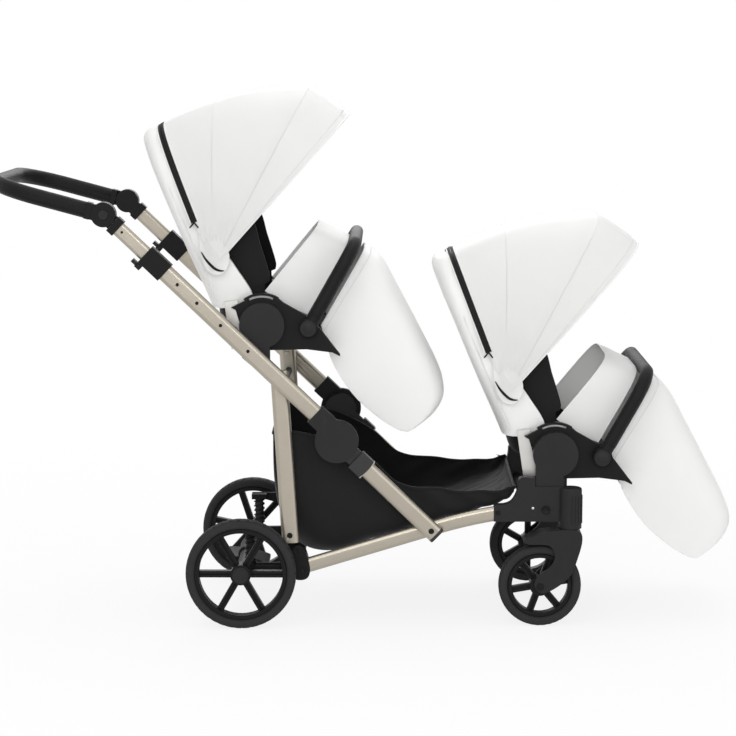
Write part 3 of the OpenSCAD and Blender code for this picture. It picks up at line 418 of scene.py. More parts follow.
def seat_origin(seat):
    """The middle of a seat's hubs, in metres."""
    _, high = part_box(seat + "_hubs")
    return Vector((high.x - HUB_RADIUS * MM, 0, high.z - HUB_RADIUS * MM))


def through(stations, count):
    """Smooth values along a list of stations."""
    last = len(stations) - 1
    rows = []
    for i in range(count):
        t = i * last / (count - 1)
        k = min(int(t), last - 1)
        f = t - k
        near = [stations[min(max(k + step, 0), last)] for step in (-1, 0, 1, 2)]
        rows.append([
            b + 0.5 * f * (c - a + f * (2 * a - 5 * b + 4 * c - d + f * (3 * (b - c) + d - a)))
            for a, b, c, d in zip(*near)])
    return rows


def reaches(points):
    """How far along a line each of its points lies."""
    out = [0.0]
    for a, b in zip(points, points[1:]):
        out.append(out[-1] + (b - a).length)
    return out


def evenly(points, count):
    """The same line with evenly spaced points."""
    reach = reaches(points)
    out, k = [], 0
    for i in range(count):
        want = reach[-1] * i / (count - 1)
        while k < len(points) - 2 and reach[k + 1] < want:
            k += 1
        step = reach[k + 1] - reach[k] or 1.0
        out.append(points[k].lerp(points[k + 1], (want - reach[k]) / step))
    return out


def arch(foot, crown, half, square, columns):
    """One arch of cloth from its left foot over the crown to its right foot."""
    fine = 6 * columns
    points = []
    for j in range(fine + 1):
        turn = math.pi * j / fine
        side = math.copysign(abs(math.cos(turn)) ** (2 / square), math.cos(turn))
        rise = abs(math.sin(turn)) ** (2 / square)
        at = foot.lerp(crown, rise)
        points.append(Vector((at.x, half * side, at.z)))
    return evenly(points, columns)


def arch_rows(origin, stations, rows, columns):
    """Arches through stations of foot, crown, half width and squareness, in millimetres."""
    made = []
    for fx, fz, cx, cz, half, square in through(stations, rows):
        made.append(arch(origin + Vector((fx, 0, fz)) * MM, origin + Vector((cx, 0, cz)) * MM,
                         half * MM, square, columns))
    return made


def sheet_mesh(name, rows, outside):
    """A grid of cloth with its map in metres; outside is a point that its face looks towards."""
    centre = len(rows[0]) // 2
    across = reaches(rows[len(rows) // 2])
    along = reaches([row[centre] for row in rows])
    made = bmesh.new()
    grid = [[made.verts.new(p) for p in row] for row in rows]
    layer = made.loops.layers.uv.new("Cloth")
    spot = {}
    for i, row in enumerate(grid):
        for j, vert in enumerate(row):
            spot[vert] = (across[j], along[i])
    for i in range(len(rows) - 1):
        for j in range(len(rows[0]) - 1):
            face = made.faces.new((grid[i][j], grid[i][j + 1], grid[i + 1][j + 1], grid[i + 1][j]))
            for loop in face.loops:
                loop[layer].uv = spot[loop.vert]
    made.normal_update()
    made.faces.ensure_lookup_table()
    probe = made.faces[(len(rows) - 1) // 2 * (len(rows[0]) - 1) + centre]
    if probe.normal.dot(outside - probe.calc_center_median()) < 0:
        bmesh.ops.reverse_faces(made, faces=made.faces)
    area = sum(face.calc_area() for face in made.faces)
    return linked(name, made), area, (across[-1], along[-1])


def thicken(piece, wall, soft_edge=0.0):
    """Gives a sheet its thickness on the inner side, and rounded edges."""
    solid = piece.modifiers.new("Wall", "SOLIDIFY")
    solid.thickness = wall
    solid.offset = -1
    solid.use_even_offset = True
    if soft_edge:
        bevel(piece, soft_edge, 3, 50)
    apply_modifiers(piece)


def widest(rows):
    """Length of the longest row of a sheet."""
    return max(reaches(row)[-1] for row in rows)


def padding(name, rows, outside, wall, edge, body, finish):
    """A padded sheet with its finish."""
    piece, _, _ = sheet_mesh(name, rows, outside)
    thicken(piece, wall, edge)
    return dress(piece, body, finish)


def cord_mesh(name, path, radius, sides):
    """A round cord along a line of points, closed at both ends."""
    made = bmesh.new()
    rings = []
    last = len(path) - 1
    side = None
    for i, point in enumerate(path):
        along = (path[min(i + 1, last)] - path[max(i - 1, 0)]).normalized()
        if side is None:
            side = along.orthogonal().normalized()
        side = (side - along * side.dot(along)).normalized()
        other = along.cross(side)
        rings.append([
            made.verts.new(point + radius * (math.cos(a) * side + math.sin(a) * other))
            for a in (2 * math.pi * k / sides for k in range(sides))])
    for a, b in zip(rings, rings[1:]):
        for k in range(sides):
            made.faces.new((a[k], a[(k + 1) % sides], b[(k + 1) % sides], b[k]))
    made.faces.new(reversed(rings[0]))
    made.faces.new(rings[-1])
    bmesh.ops.recalc_face_normals(made, faces=made.faces)
    return linked(name, made)


def cord(name, path, radius, sides, body, finish):
    """A cord with its finish."""
    return dress(cord_mesh(name, path, radius, sides), body, finish)


def ribbon_mesh(name, path, wide, lift, wall):
    """A flat tape along a line: wide is its half width at each point, lift its outward side."""
    rows = [[p - w + n, p + n, p + w + n] for p, w, n in zip(path, wide, lift)]
    middle = len(path) // 2
    piece, _, _ = sheet_mesh(name, rows, path[middle] + lift[middle] * 1000)
    thicken(piece, wall)
    return piece


def join(name, pieces):
    """Joins pieces of one kind into one object."""
    activate(pieces[0])
    for piece in pieces[1:]:
        piece.select_set(True)
    if len(pieces) > 1:
        bpy.ops.object.join()
    pieces[0].name = name
    pieces[0].data.name = name
    return pieces[0]


def turned(name, centre, outline, steps):
    """A part spun about a line along y, from a closed outline of (radius, side) points in metres."""
    piece = primitive(bpy.ops.mesh.primitive_circle_add, name, vertices=len(outline), radius=0.01)
    piece.data.name = name
    for vert, (radius, side) in zip(piece.data.vertices, outline):
        vert.co = (centre.x + radius, centre.y + side, centre.z)
    bpy.ops.object.mode_set(mode="EDIT")
    bpy.ops.mesh.select_all(action="SELECT")
    bpy.ops.mesh.spin(steps=steps, dupli=False, angle=2 * math.pi, center=centre, axis=(0, 1, 0))
    bpy.ops.mesh.select_all(action="SELECT")
    bpy.ops.mesh.remove_doubles(threshold=WELD_GAP)
    bpy.ops.mesh.normals_make_consistent(inside=False)
    bpy.ops.object.mode_set(mode="OBJECT")
    return piece


def boss(name, radius, height, steps, sides):
    """A round cap that looks along -y from the origin; steps are (inset, rise) pairs from its rim inwards."""
    piece = primitive(bpy.ops.mesh.primitive_cylinder_add, name, vertices=sides, radius=radius, depth=height,
                      rotation=(math.pi / 2, 0, 0))
    settle(piece)
    step_faces(piece, [face.index for face in piece.data.polygons if face.normal.y < -0.9], steps)
    bevel(piece, height * 0.2, 2, 50)
    apply_modifiers(piece)
    return piece


def twin(piece):
    """A copy with a mesh of its own."""
    other = piece.copy()
    other.data = piece.data.copy()
    bpy.context.scene.collection.objects.link(other)
    return other


def set_cap(cap, spot, side):
    """Moves a cap to its spot and turns its face to the left or the right."""
    cap.rotation_euler = (0, 0, math.pi if side > 0 else 0)
    cap.location = spot
    settle(cap)
    return cap


def repeat(master, name, spots):
    """Copies of a cap, each with its own mesh, at spots that lie on the left or the right side."""
    return join(name, [set_cap(twin(master), spot, spot.y) for spot in spots])


def both_sides(points, side):
    """The same places on the left and the right, in metres."""
    return [Vector((x, s * side, z)) * MM for x, z in points for s in (1, -1)]


HOOP_FROM, HOOP_STEPS = 40, 12


def hoop(start, along, side, reach, bend, out):
    """A U-shaped line: two arms from start, round bends and a bar across, moved by out; in millimetres."""
    half = []
    across = Vector((0, 1, 0))
    for k in range(HOOP_STEPS + 1):
        half.append(start + along * (HOOP_FROM + (reach - bend - HOOP_FROM) * k / HOOP_STEPS) + across * side)
    for k in range(1, HOOP_STEPS + 1):
        turn = math.pi / 2 * k / HOOP_STEPS
        half.append(start + along * (reach - bend + bend * math.sin(turn))
                    + across * (side - bend + bend * math.cos(turn)))
    whole = half + [Vector((p.x, -p.y, p.z)) for p in reversed(half)]
    return [(p + out) * MM for p in whole]


# Frame and other hard nodes

EDGE_ROUND = {
    "lower_rails": 0.0, "main_tubes": 0.0, "handle_tubes": 0.0, "rear_legs": 0.0, "handle_bar": 0.0,
    "frame_pins": 0.001, "cross_tubes": 0.0, "leg_brace": 0.0, "struts": 0.0015,
    "front_brackets": 0.004, "fork_left": 0.004, "fork_right": 0.004, "hub_covers": 0.003,
}
EDGE_USUAL, EDGE_ANGLE = 0.002, 38


class PRAM_OT_frame(bpy.types.Operator):
    """Finishes the frame's own nodes"""
    bl_idname = "pram.frame"
    bl_label = "Frame"

    def execute(self, context):
        slots = {part["node"]: part["material_slot"] for part in frame["record"]["subparts"]}
        for name, node in frame["nodes"].items():
            finish = "strut" if name == "struts" else slots[name]
            node.data.materials.clear()
            node.data.materials.append(FINISHES[finish].material)
            for face in node.data.polygons:
                face.use_smooth = True
            weld = node.modifiers.new("Weld", "WELD")
            weld.merge_threshold = WELD_GAP
            width = 0.0 if name.endswith("_bumper") else EDGE_ROUND.get(name, EDGE_USUAL)
            if width:
                bevel(node, width, 2, EDGE_ANGLE)
            even = node.modifiers.new("Even", "WEIGHTED_NORMAL")
            even.keep_sharp = True
        return {"FINISHED"}


# Canopies

CANOPY_PIVOT = Vector((-125, 0, 140))
CANOPY_REAR, CANOPY_SEAM, CANOPY_BOW, CANOPY_PEAK = 111, 90, 62, 48
CANOPY_REACH = 515
CANOPY_HALF = 212.5
CANOPY_SQUARE = 4.2
CANOPY_FOOT = 26
CANOPY_START, CANOPY_RISE, CANOPY_ROUND = 0.745, 0.255, 0.45
CANOPY_STEPS, CANOPY_COLUMNS = 48, 81
CANOPY_SAG, CANOPY_PLEAT = 3.2 * MM, 1.4 * MM
BLEND_REACH = 0.23


def canopy_reach(angle):
    """Height of the canopy's ridge over its pivot at an angle."""
    t = (CANOPY_REAR - angle) / (CANOPY_REAR - CANOPY_BOW)
    if t >= 1:
        return CANOPY_REACH
    return CANOPY_REACH * (CANOPY_START + CANOPY_RISE * (t * t + CANOPY_ROUND * (t - t * t)))


def canopy_arch(origin, angle, columns, out=0.0):
    """One arch of the canopy, moved outwards by a few millimetres."""
    foot = origin + (CANOPY_PIVOT + direction(angle) * CANOPY_FOOT) * MM
    crown = origin + (CANOPY_PIVOT + direction(angle) * (canopy_reach(angle) + out)) * MM
    return arch(foot, crown, (CANOPY_HALF + out) * MM, CANOPY_SQUARE, columns)


TIP_OUTLINE = (
    (-158, 236), (-157, 205), (-153, 174), (-144, 146), (-129, 128), (-107, 125), (-90, 139), (-82, 164),
    (-86, 190), (-98, 214), (-116, 232), (-138, 240), (-158, 236))
TIP_SIDE, TIP_LEAN, TIP_LOW, TIP_WALL = 214.6, 0.045, 125, 0.0018
# Line, side, half width and steps of the dark strip under the canopy's tip, which is painted shadow.
SHADOW_SLIT_LINE = ((-153, 183), (-143, 166), (-131, 151.5), (-118, 140), (-106, 135.5), (-95, 135.5))
SHADOW_SLIT_SIDE, SHADOW_SLIT_HALF, SHADOW_SLIT_STEPS = 216.9, 3.4, 24
SEAM_POINTS, HEM_POINTS, ZIP_POINTS = 161, 121, 321
ZIP_START = 0.124
ZIP_CORD, ZIP_GAP = 0.0019, 0.0012
ZIP_TAILS, TAIL_CORD = ((-12, -13), (10, -13)), 0.0021
TOOTH = (0.0026, 0.0042, 0.0014)
TOOTH_SHIFT, TOOTH_RISE = 0.0009, 0.0012


class PRAM_OT_canopies(bpy.types.Operator):
    """Stretches a canopy over each seat's bow, with its hem, seams, zip and tips"""
    bl_idname = "pram.canopies"
    bl_label = "Canopies"

    def execute(self, context):
        size = context.scene.pram_sizes
        for seat in SEATS:
            self.make(seat, seat_origin(seat), size)
        return {"FINISHED"}

    def make(self, seat, origin, size):
        pivot = origin + CANOPY_PIVOT * MM
        rows = []
        for i in range(CANOPY_STEPS + 1):
            share = i / CANOPY_STEPS
            angle = CANOPY_REAR + (CANOPY_PEAK - CANOPY_REAR) * share
            line = canopy_arch(origin, angle, CANOPY_COLUMNS)
            taut = abs(CANOPY_BOW - angle) / (CANOPY_REAR - CANOPY_BOW)
            slack = 4 * taut * (1 - taut) if taut < 1 and angle > CANOPY_BOW else 0.0
            for j, point in enumerate(line):
                spread = Vector((point.x - pivot.x, 0, point.z - pivot.z)).length / (CANOPY_REACH * MM)
                sag = CANOPY_SAG * slack * min(1.0, spread * 1.4)
                fold = CANOPY_PLEAT * math.sin(share * 24) * max(0.0, 1 - spread * 2.2) ** 2
                inward = Vector((0, -point.y, pivot.z - point.z + 0.1)).normalized()
                line[j] = point + inward * sag + Vector((0, math.copysign(fold, point.y), 0))
            rows.append(line)
        piece, area, flat = sheet_mesh(seat + "_canopy_cloth", rows, origin + Vector((0.05, 0, 3)))
        thicken(piece, size.canopy_cloth)
        dress(piece, None, "white_cloth")
        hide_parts(seat + "_canopy")
        ends = [pivot + direction(angle) * BLEND_REACH for angle in (CANOPY_REAR, CANOPY_BOW)]
        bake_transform(piece)
        wide = widest(rows)
        min(area, wide * flat[1])
        self.front_hem(seat, origin, size)
        self.seam(seat, origin, ends)
        self.zip_line(seat, origin, size)
        self.tip(seat, origin)

    def seam(self, seat, origin, ends):
        """Fine seams over the bow and halfway to the zip."""
        path = canopy_arch(origin, CANOPY_BOW, SEAM_POINTS, 0.1)
        cord(seat + "_canopy_bow_seam", path, 0.0009, 6, seat + "_canopy", "white_cloth")
        path = canopy_arch(origin, CANOPY_SEAM, SEAM_POINTS, -2.3)
        middle = cord(seat + "_canopy_mid_seam", path, 0.0011, 6, None, "white_cloth")
        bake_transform(middle)

    def tip(self, seat, origin):
        """The rounded lower end of the canopy's side, and under it a dark strip that is painted shadow of the
        gap below the tip.
        """
        outline = through(TIP_OUTLINE, 60)
        for word, side in SIDES.items():
            made = bmesh.new()
            rim = [made.verts.new(origin + Vector((x, side * (TIP_SIDE - TIP_LEAN * (z - TIP_LOW)), z)) * MM)
                   for x, z in outline]
            made.faces.new(rim)
            patch = linked(f"{seat}_canopy_tip_{word}", made)
            activate(patch)
            bpy.ops.object.mode_set(mode="EDIT")
            bpy.ops.mesh.select_all(action="SELECT")
            bpy.ops.mesh.extrude_region_move(TRANSFORM_OT_translate={"value": (0, side * TIP_WALL, 0)})
            bpy.ops.mesh.select_all(action="SELECT")
            bpy.ops.mesh.normals_make_consistent(inside=False)
            bpy.ops.object.mode_set(mode="OBJECT")
            bevel(patch, 0.0008, 2)
            apply_modifiers(patch)
            dress(patch, seat + "_back", "white_cloth")
            # Painted shadow: a thin dark strip along the lower edge of the tip stands for the shade in the gap
            # under it.
            line = [origin + Vector((x, side * SHADOW_SLIT_SIDE, z)) * MM
                    for x, z in through(SHADOW_SLIT_LINE, SHADOW_SLIT_STEPS + 1)]
            wide = []
            for k in range(SHADOW_SLIT_STEPS + 1):
                ahead = (line[min(k + 1, SHADOW_SLIT_STEPS)] - line[max(k - 1, 0)]).normalized()
                swell = math.sin(math.pi * (0.04 + 0.92 * k / SHADOW_SLIT_STEPS)) ** 0.7
                wide.append(Vector((-ahead.z, 0, ahead.x)) * SHADOW_SLIT_HALF * MM * swell)
            lift = [Vector((0, side * 0.0002, 0))] * len(line)
            shadow_slit = ribbon_mesh(f"{seat}_canopy_shadow_slit_{word}", line, wide, lift, 0.0006)
            dress(shadow_slit, seat + "_back", "zip_tape")

    def front_hem(self, seat, origin, size):
        """A hem along the peak, and its stitches."""
        path = canopy_arch(origin, CANOPY_PEAK + 0.25, HEM_POINTS, 0.4)
        cord(seat + "_canopy_hem", path, size.piping, 8, seat + "_canopy", "white_cloth")
        path = canopy_arch(origin, CANOPY_PEAK + 2.2, SEAM_POINTS, 0.5)
        cord(seat + "_canopy_stitch", path, 0.0007, 6, seat + "_canopy", "thread")

    def zip_line(self, seat, origin, size):
        """The zip that joins the canopy to the back: tape, piping and teeth that mesh."""
        centre = origin + CANOPY_PIVOT * MM
        line = [p for p in canopy_arch(origin, CANOPY_REAR, ZIP_POINTS, 1.2)
                if math.hypot(p.x - centre.x, p.z - centre.z) > ZIP_START]
        along = direction(CANOPY_REAR - 90)
        lift = [Vector((0, p.y, 0.9 * (p.z - centre.z))).normalized() * 0.0003 for p in line]
        tape = ribbon_mesh(seat + "_zip_tape", line, [along * size.zip_width / 2] * len(line), lift, 0.0009)
        dress(tape, seat + "_back", "zip_tape")
        self.zip_edges(seat, size, line, along, lift)
        spots = evenly(line, int(reaches(line)[-1] / size.tooth_pitch))
        made = bmesh.new()
        for i, spot in enumerate(spots[:-1]):
            ahead = (spots[i + 1] - spot).normalized()
            out = ahead.cross(along).normalized()
            if out.dot(Vector((0, spot.y, spot.z - centre.z))) < 0:
                out = -out
            shift = along * (TOOTH_SHIFT if i % 2 else -TOOTH_SHIFT)
            turn = Matrix((ahead, along, out)).transposed().to_4x4()
            turn.translation = spot + shift + out * TOOTH_RISE
            bmesh.ops.create_cube(made, size=1.0, matrix=turn @ Matrix.Diagonal((*TOOTH, 1)))
        dress(linked(seat + "_zip_teeth", made), seat + "_back", "black_plastic")

    def zip_edges(self, seat, size, line, along, lift):
        """White piping on both edges of the zip, and the split at its two lower ends."""
        cords = []
        for way in (-1, 1):
            path = [p + along * way * (size.zip_width / 2 + ZIP_GAP) + n * 2 for p, n in zip(line, lift)]
            cords.append(cord_mesh(seat + "_zip_edge", path, ZIP_CORD, 6))
        dress(join(seat + "_zip_edges", cords), seat + "_back", "white_cloth")
        legs = []
        for end, side in ((line[0], 1), (line[-1], -1)):
            for x, z in ZIP_TAILS:
                tail = [end + Vector((x * t, side * (0.6 + 0.6 * t), z * t)) * MM
                        for t in (-0.1, 0.25, 0.6, 1.0)]
                legs.append(cord_mesh(seat + "_zip_end", tail, TAIL_CORD, 6))
        dress(join(seat + "_zip_ends", legs), seat + "_back", "zip_tape")


# Back covers and liners

BACK_LOW = Vector((-133, 0, 40))
BACK_ANGLE = 113.2
BACK_LEN = 470
WING = 95


def on_back(share, out):
    """A point of the side view: share of the back's length, and millimetres in front of its rear face."""
    return BACK_LOW + direction(BACK_ANGLE) * (share * BACK_LEN) + direction(BACK_ANGLE - 90) * out


def back_station(foot_share, foot_out, share, out, half, square):
    foot = on_back(foot_share, foot_out * WING)
    crown = on_back(share, out)
    return (foot.x, foot.z, crown.x, crown.z, half, square)


COVER_STATIONS = (
    (-0.063, 0.67, 0.0, 0, 198, 6), (-0.036, 1.16, 0.03, 0, 200.4, 6), (0.13, 1.07, 0.13, 0, 202, 6),
    (0.25, 0.93, 0.25, -1, 203, 6), (0.42, 0.65, 0.42, -1, 204, 6), (0.62, 0.6, 0.62, 0, 206, 5.6),
    (0.74, 0.59, 0.74, 0, 203, 5), (0.84, 0.58, 0.84, 0, 191, 4.4), (0.92, 0.575, 0.92, 1, 168, 3.8),
    (0.97, 0.565, 0.975, 4, 142, 3.3), (1.0, 0.555, 1.005, 16, 112, 3), (1.008, 0.55, 1.014, 34, 84, 2.6),
    (1.011, 0.545, 1.014, 47, 60, 2.4),
)
LINER_STATIONS = (
    (0.0, 1.7, 175, 6), (0.03, 1.78, 175, 6), (0.1, 1.83, 175, 6), (0.2, 1.88, 175, 6), (0.36, 1.95, 175, 6),
    (0.5, 1.58, 175, 6), (0.62, 0.74, 175, 5.4), (0.84, 0.65, 158, 4.2), (0.94, 0.53, 122, 3.4),
)
COVER_GRID, LINER_GRID, CREASE_GRID = (70, 97), (74, 97), (26, 61)
BACK_SEAM_FROM, BACK_SEAM_RUN, BACK_SEAM_STEPS = 0.02, 0.66, 40
LINER_OUT = 25.5
GROOVES, GROOVE_DEPTH = 7, 2.6 * MM
BEHIND = Vector((-3, 0, 0.3))
CREASE_STATIONS = (
    back_station(0.015, 1.6, 0.025, 29, 171.5, 6), (6, 64, -115, 26, 172.5, 6), (10, 24, -106, -4, 171, 6),
    (14, -6, -84, -16.5, 168, 6), (18, -15, -50, -19.5, 163, 6),
)
CREASE_WALL = 0.002


class PRAM_OT_backs(bpy.types.Operator):
    """Pads each seat's back, with its seams, black liner and the crease down to the pan"""
    bl_idname = "pram.backs"
    bl_label = "Back covers and liners"

    def execute(self, context):
        size = context.scene.pram_sizes
        for seat in SEATS:
            origin = seat_origin(seat)
            self.cover(seat, origin, size)
            self.liner(seat, origin, size)
            self.crease(seat, origin)
        return {"FINISHED"}

    def cover(self, seat, origin, size):
        stations = [back_station(*s) for s in COVER_STATIONS]
        rows = arch_rows(origin, stations, *COVER_GRID)
        piece = padding(seat + "_back_cover", rows, origin + BEHIND, size.back_pad, 0.004,
                        seat + "_back", "white_cloth")
        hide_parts(seat + "_back")
        shares = [k / BACK_SEAM_STEPS * BACK_SEAM_RUN + BACK_SEAM_FROM for k in range(BACK_SEAM_STEPS + 1)]
        seams = []
        for side in SIDES.values():
            path = [origin + (on_back(s, 23 + 8 * s) + Vector((0, side * (201.5 + 4 * s), 0))) * MM
                    for s in shares]
            seams.append(cord_mesh(seat + "_back_seam", path, 0.0013, 6))
        dress(join(seat + "_back_seams", seams), seat + "_back", "white_cloth")

    def liner(self, seat, origin, size):
        stations = [back_station(share, deep, share, LINER_OUT, half, square)
                    for share, deep, half, square in LINER_STATIONS]
        rows = arch_rows(origin, stations, *LINER_GRID)
        for i, row in enumerate(rows):
            share = i / (len(rows) - 1)
            groove = GROOVE_DEPTH * (0.5 + 0.5 * math.cos(share * GROOVES * 2 * math.pi)) ** 6
            for j, point in enumerate(row):
                middle = max(0.0, 1 - abs(point.y) / (160 * MM))
                row[j] = point - direction(BACK_ANGLE - 90) * groove * min(1.0, middle * 3)
        piece = padding(seat + "_back_liner", rows, origin + BEHIND, size.liner_pad, 0.0018,
                        seat + "_back", "black_cloth")
        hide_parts(seat + "_liner")

    def crease(self, seat, origin):
        """Closes the seat between the liner's foot and the pan."""
        rows = arch_rows(origin, CREASE_STATIONS, *CREASE_GRID)
        piece, area, flat = sheet_mesh(seat + "_seat_crease", rows, origin + Vector((1, 0, 3)))
        thicken(piece, CREASE_WALL)
        dress(piece, None, "black_cloth")
        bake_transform(piece)


# Aprons, foot covers and seat pads

BUMPER_PIVOT = Vector((117, 0, -6))
BUMPER_ANGLE, BUMPER_REACH, BUMPER_SIDE, BUMPER_BEND = 61, 240, 244.3, 70
BUMPER_BAND, BUMPER_OUT = 38, 17.0
SEAM_RADIUS = 0.0011
BUMPER_END = BUMPER_PIVOT + direction(BUMPER_ANGLE) * BUMPER_REACH
APRON_HOOK = BUMPER_END + direction(182) * 17.6
APRON_UNIT, APRON_HALF = 240, 188
APRON_STATIONS = tuple(
    (foot[0] * APRON_UNIT, foot[1] * APRON_UNIT, crown[0], crown[1], APRON_HALF, 6)
    for foot, crown in (
        ((0.02, 0.34), (0.56 * APRON_UNIT, 1.0 * APRON_UNIT)),
        ((0.21, 0.2), (0.67 * APRON_UNIT, 0.955 * APRON_UNIT)),
        ((0.37, 0.13), (0.78 * APRON_UNIT, 0.9 * APRON_UNIT)),
        ((0.47, 0.09), (APRON_HOOK.x, APRON_HOOK.z))))
FOOT_UNIT, FOOT_HALF = 400, 185
FOOT_STATIONS = tuple(
    (foot[0] * FOOT_UNIT, foot[1] * FOOT_UNIT, crown[0] * FOOT_UNIT, crown[1] * FOOT_UNIT, FOOT_HALF, 6)
    for foot, crown in (
        ((0.37, -0.02), (0.64, 0.45)), ((0.4, -0.135), (0.75, 0.365)), ((0.455, -0.285), (0.87, 0.15)),
        ((0.575, -0.465), (1.01, -0.115)), ((0.71, -0.59), (1.115, -0.325)), ((0.81, -0.66), (1.155, -0.465)),
        ((0.87, -0.69), (1.1, -0.58)), ((0.92, -0.7), (0.98, -0.67))))
APRON_GRID, FOOT_GRID = (30, 91), (64, 101)
STITCH_ROW = 4
STITCH_LIFT = Vector((0.0004, 0, 0.0004))
PAD_SHRINK = Vector((0.012, 0.012, 0.008))
PAD_ROUND, PAD_GRAIN = 0.008, 0.005
PUFF_FORCE, PUFF_FRAMES = 4.0, 20
CHANNELS, CHANNEL_DEPTH = 4, 0.0035


class PRAM_OT_covers(bpy.types.Operator):
    """Hangs an apron and a foot cover on each seat"""
    bl_idname = "pram.covers"
    bl_label = "Aprons and foot covers"

    def execute(self, context):
        size = context.scene.pram_sizes
        for seat in SEATS:
            origin = seat_origin(seat)
            rows = arch_rows(origin, APRON_STATIONS, *APRON_GRID)
            piece = padding(seat + "_apron_cloth", rows, origin + Vector((0.1, 0, 3)), size.apron_cloth,
                            0.001, seat, "white_cloth")
            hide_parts(seat + "_apron")
            rows = arch_rows(origin, FOOT_STATIONS, *FOOT_GRID)
            piece = padding(seat + "_foot_cover_shell", rows, origin + Vector((3, 0, 1)), size.foot_pad,
                            0.0025, seat + "_footrest", "white_cloth")
            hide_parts(seat + "_foot_cover")
            cord(seat + "_foot_cover_binding", evenly(rows[0], HEM_POINTS), size.piping, 8,
                 seat + "_footrest", "white_cloth")
            hem = [point + STITCH_LIFT for point in rows[STITCH_ROW]]
            cord(seat + "_foot_cover_stitch", evenly(hem, HEM_POINTS), 0.0009, 6,
                 seat + "_footrest", "thread")
        return {"FINISHED"}


class PRAM_OT_pads(bpy.types.Operator):
    """Puffs up a pad on each seat"""
    bl_idname = "pram.pads"
    bl_label = "Seat pads"

    def execute(self, context):
        size = context.scene.pram_sizes
        for seat in SEATS:
            low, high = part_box(seat + "_pad")
            piece = primitive(bpy.ops.mesh.primitive_cube_add, seat + "_pad_cushion", size=1.0,
                              location=(low + high) / 2)
            piece.scale = high - low - PAD_SHRINK
            settle(piece)
            bpy.ops.object.mode_set(mode="EDIT")
            bpy.ops.mesh.select_all(action="SELECT")
            bpy.ops.mesh.bevel(offset=PAD_ROUND, segments=3, affect="EDGES")
            bpy.ops.object.mode_set(mode="OBJECT")
            remesh = piece.modifiers.new("Remesh", "REMESH")
            remesh.mode = "VOXEL"
            remesh.voxel_size = PAD_GRAIN
            apply_modifiers(piece)
            self.puff(piece, size.pad_swell, low.z)
            smooth = piece.modifiers.new("Smooth", "SUBSURF")
            smooth.levels = 1
            smooth.render_levels = 1
            apply_modifiers(piece)
            self.channels(piece, low, high)
            dress(piece, seat, "leatherette")
            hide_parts(seat + "_pad")
        return {"FINISHED"}

    def puff(self, piece, most, floor):
        """Inflates the pad with cloth simulation and caps how far each point moves."""
        start = [v.co.copy() for v in piece.data.vertices]
        cloth = piece.modifiers.new("Puff", "CLOTH")
        cloth.settings.use_pressure = True
        cloth.settings.uniform_pressure_force = PUFF_FORCE
        cloth.settings.effector_weights.gravity = 0
        cloth.point_cache.frame_start = 1
        cloth.point_cache.frame_end = PUFF_FRAMES
        scene = bpy.context.scene
        for step in range(1, PUFF_FRAMES + 1):
            scene.frame_set(step)
        apply_modifiers(piece)
        for vert, before in zip(piece.data.vertices, start):
            move = vert.co - before
            if move.length > most:
                move *= most / move.length
            vert.co = before + move
            vert.co.z = max(vert.co.z, floor + 0.001)
        scene.frame_set(1)

    def channels(self, piece, low, high):
        """Sews shallow channels across the pad."""
        middle = (low + high) / 2
        for vert in piece.data.vertices:
            if vert.co.z < middle.z:
                continue
            share = (vert.co.x - low.x) / (high.x - low.x)
            groove = (0.5 + 0.5 * math.cos(share * CHANNELS * 2 * math.pi)) ** 8
            edge = min(1.0, max(0.0, (1 - abs(vert.co.y) / high.y) * 6))
            vert.co.z -= CHANNEL_DEPTH * groove * edge


# Harnesses

SLOT_SHARE, STRAP_LOW = 0.66, 0.1
PAD_TOP, PAD_LOW = 0.63, 0.27
STRAP_HALF, SHOULDER_HALF = 19, 28
BUCKLE_X, CROTCH_X = 30, 88
STRAP_WALL, SHOULDER_WALL, STRAP_STEPS, CROTCH_STEPS = 0.0014, 0.0035, 32, 12
STRAP_Y, STRAP_BOW, STRAP_SPREAD = 40, 22, 14
TONGUE, BUCKLE = (0.007, 0.03, 0.034), (0.058, 0.05, 0.018)
KEY_STEPS = ((0.0008, -0.0014), (0.0012, 0.0022))
RAY_HEIGHT, RAY_OUT = 0.12, 150
PAD_FOOT, PAD_RISE, PAD_TAPER, PAD_SEAM = 2, 9, 0.22, 0.3


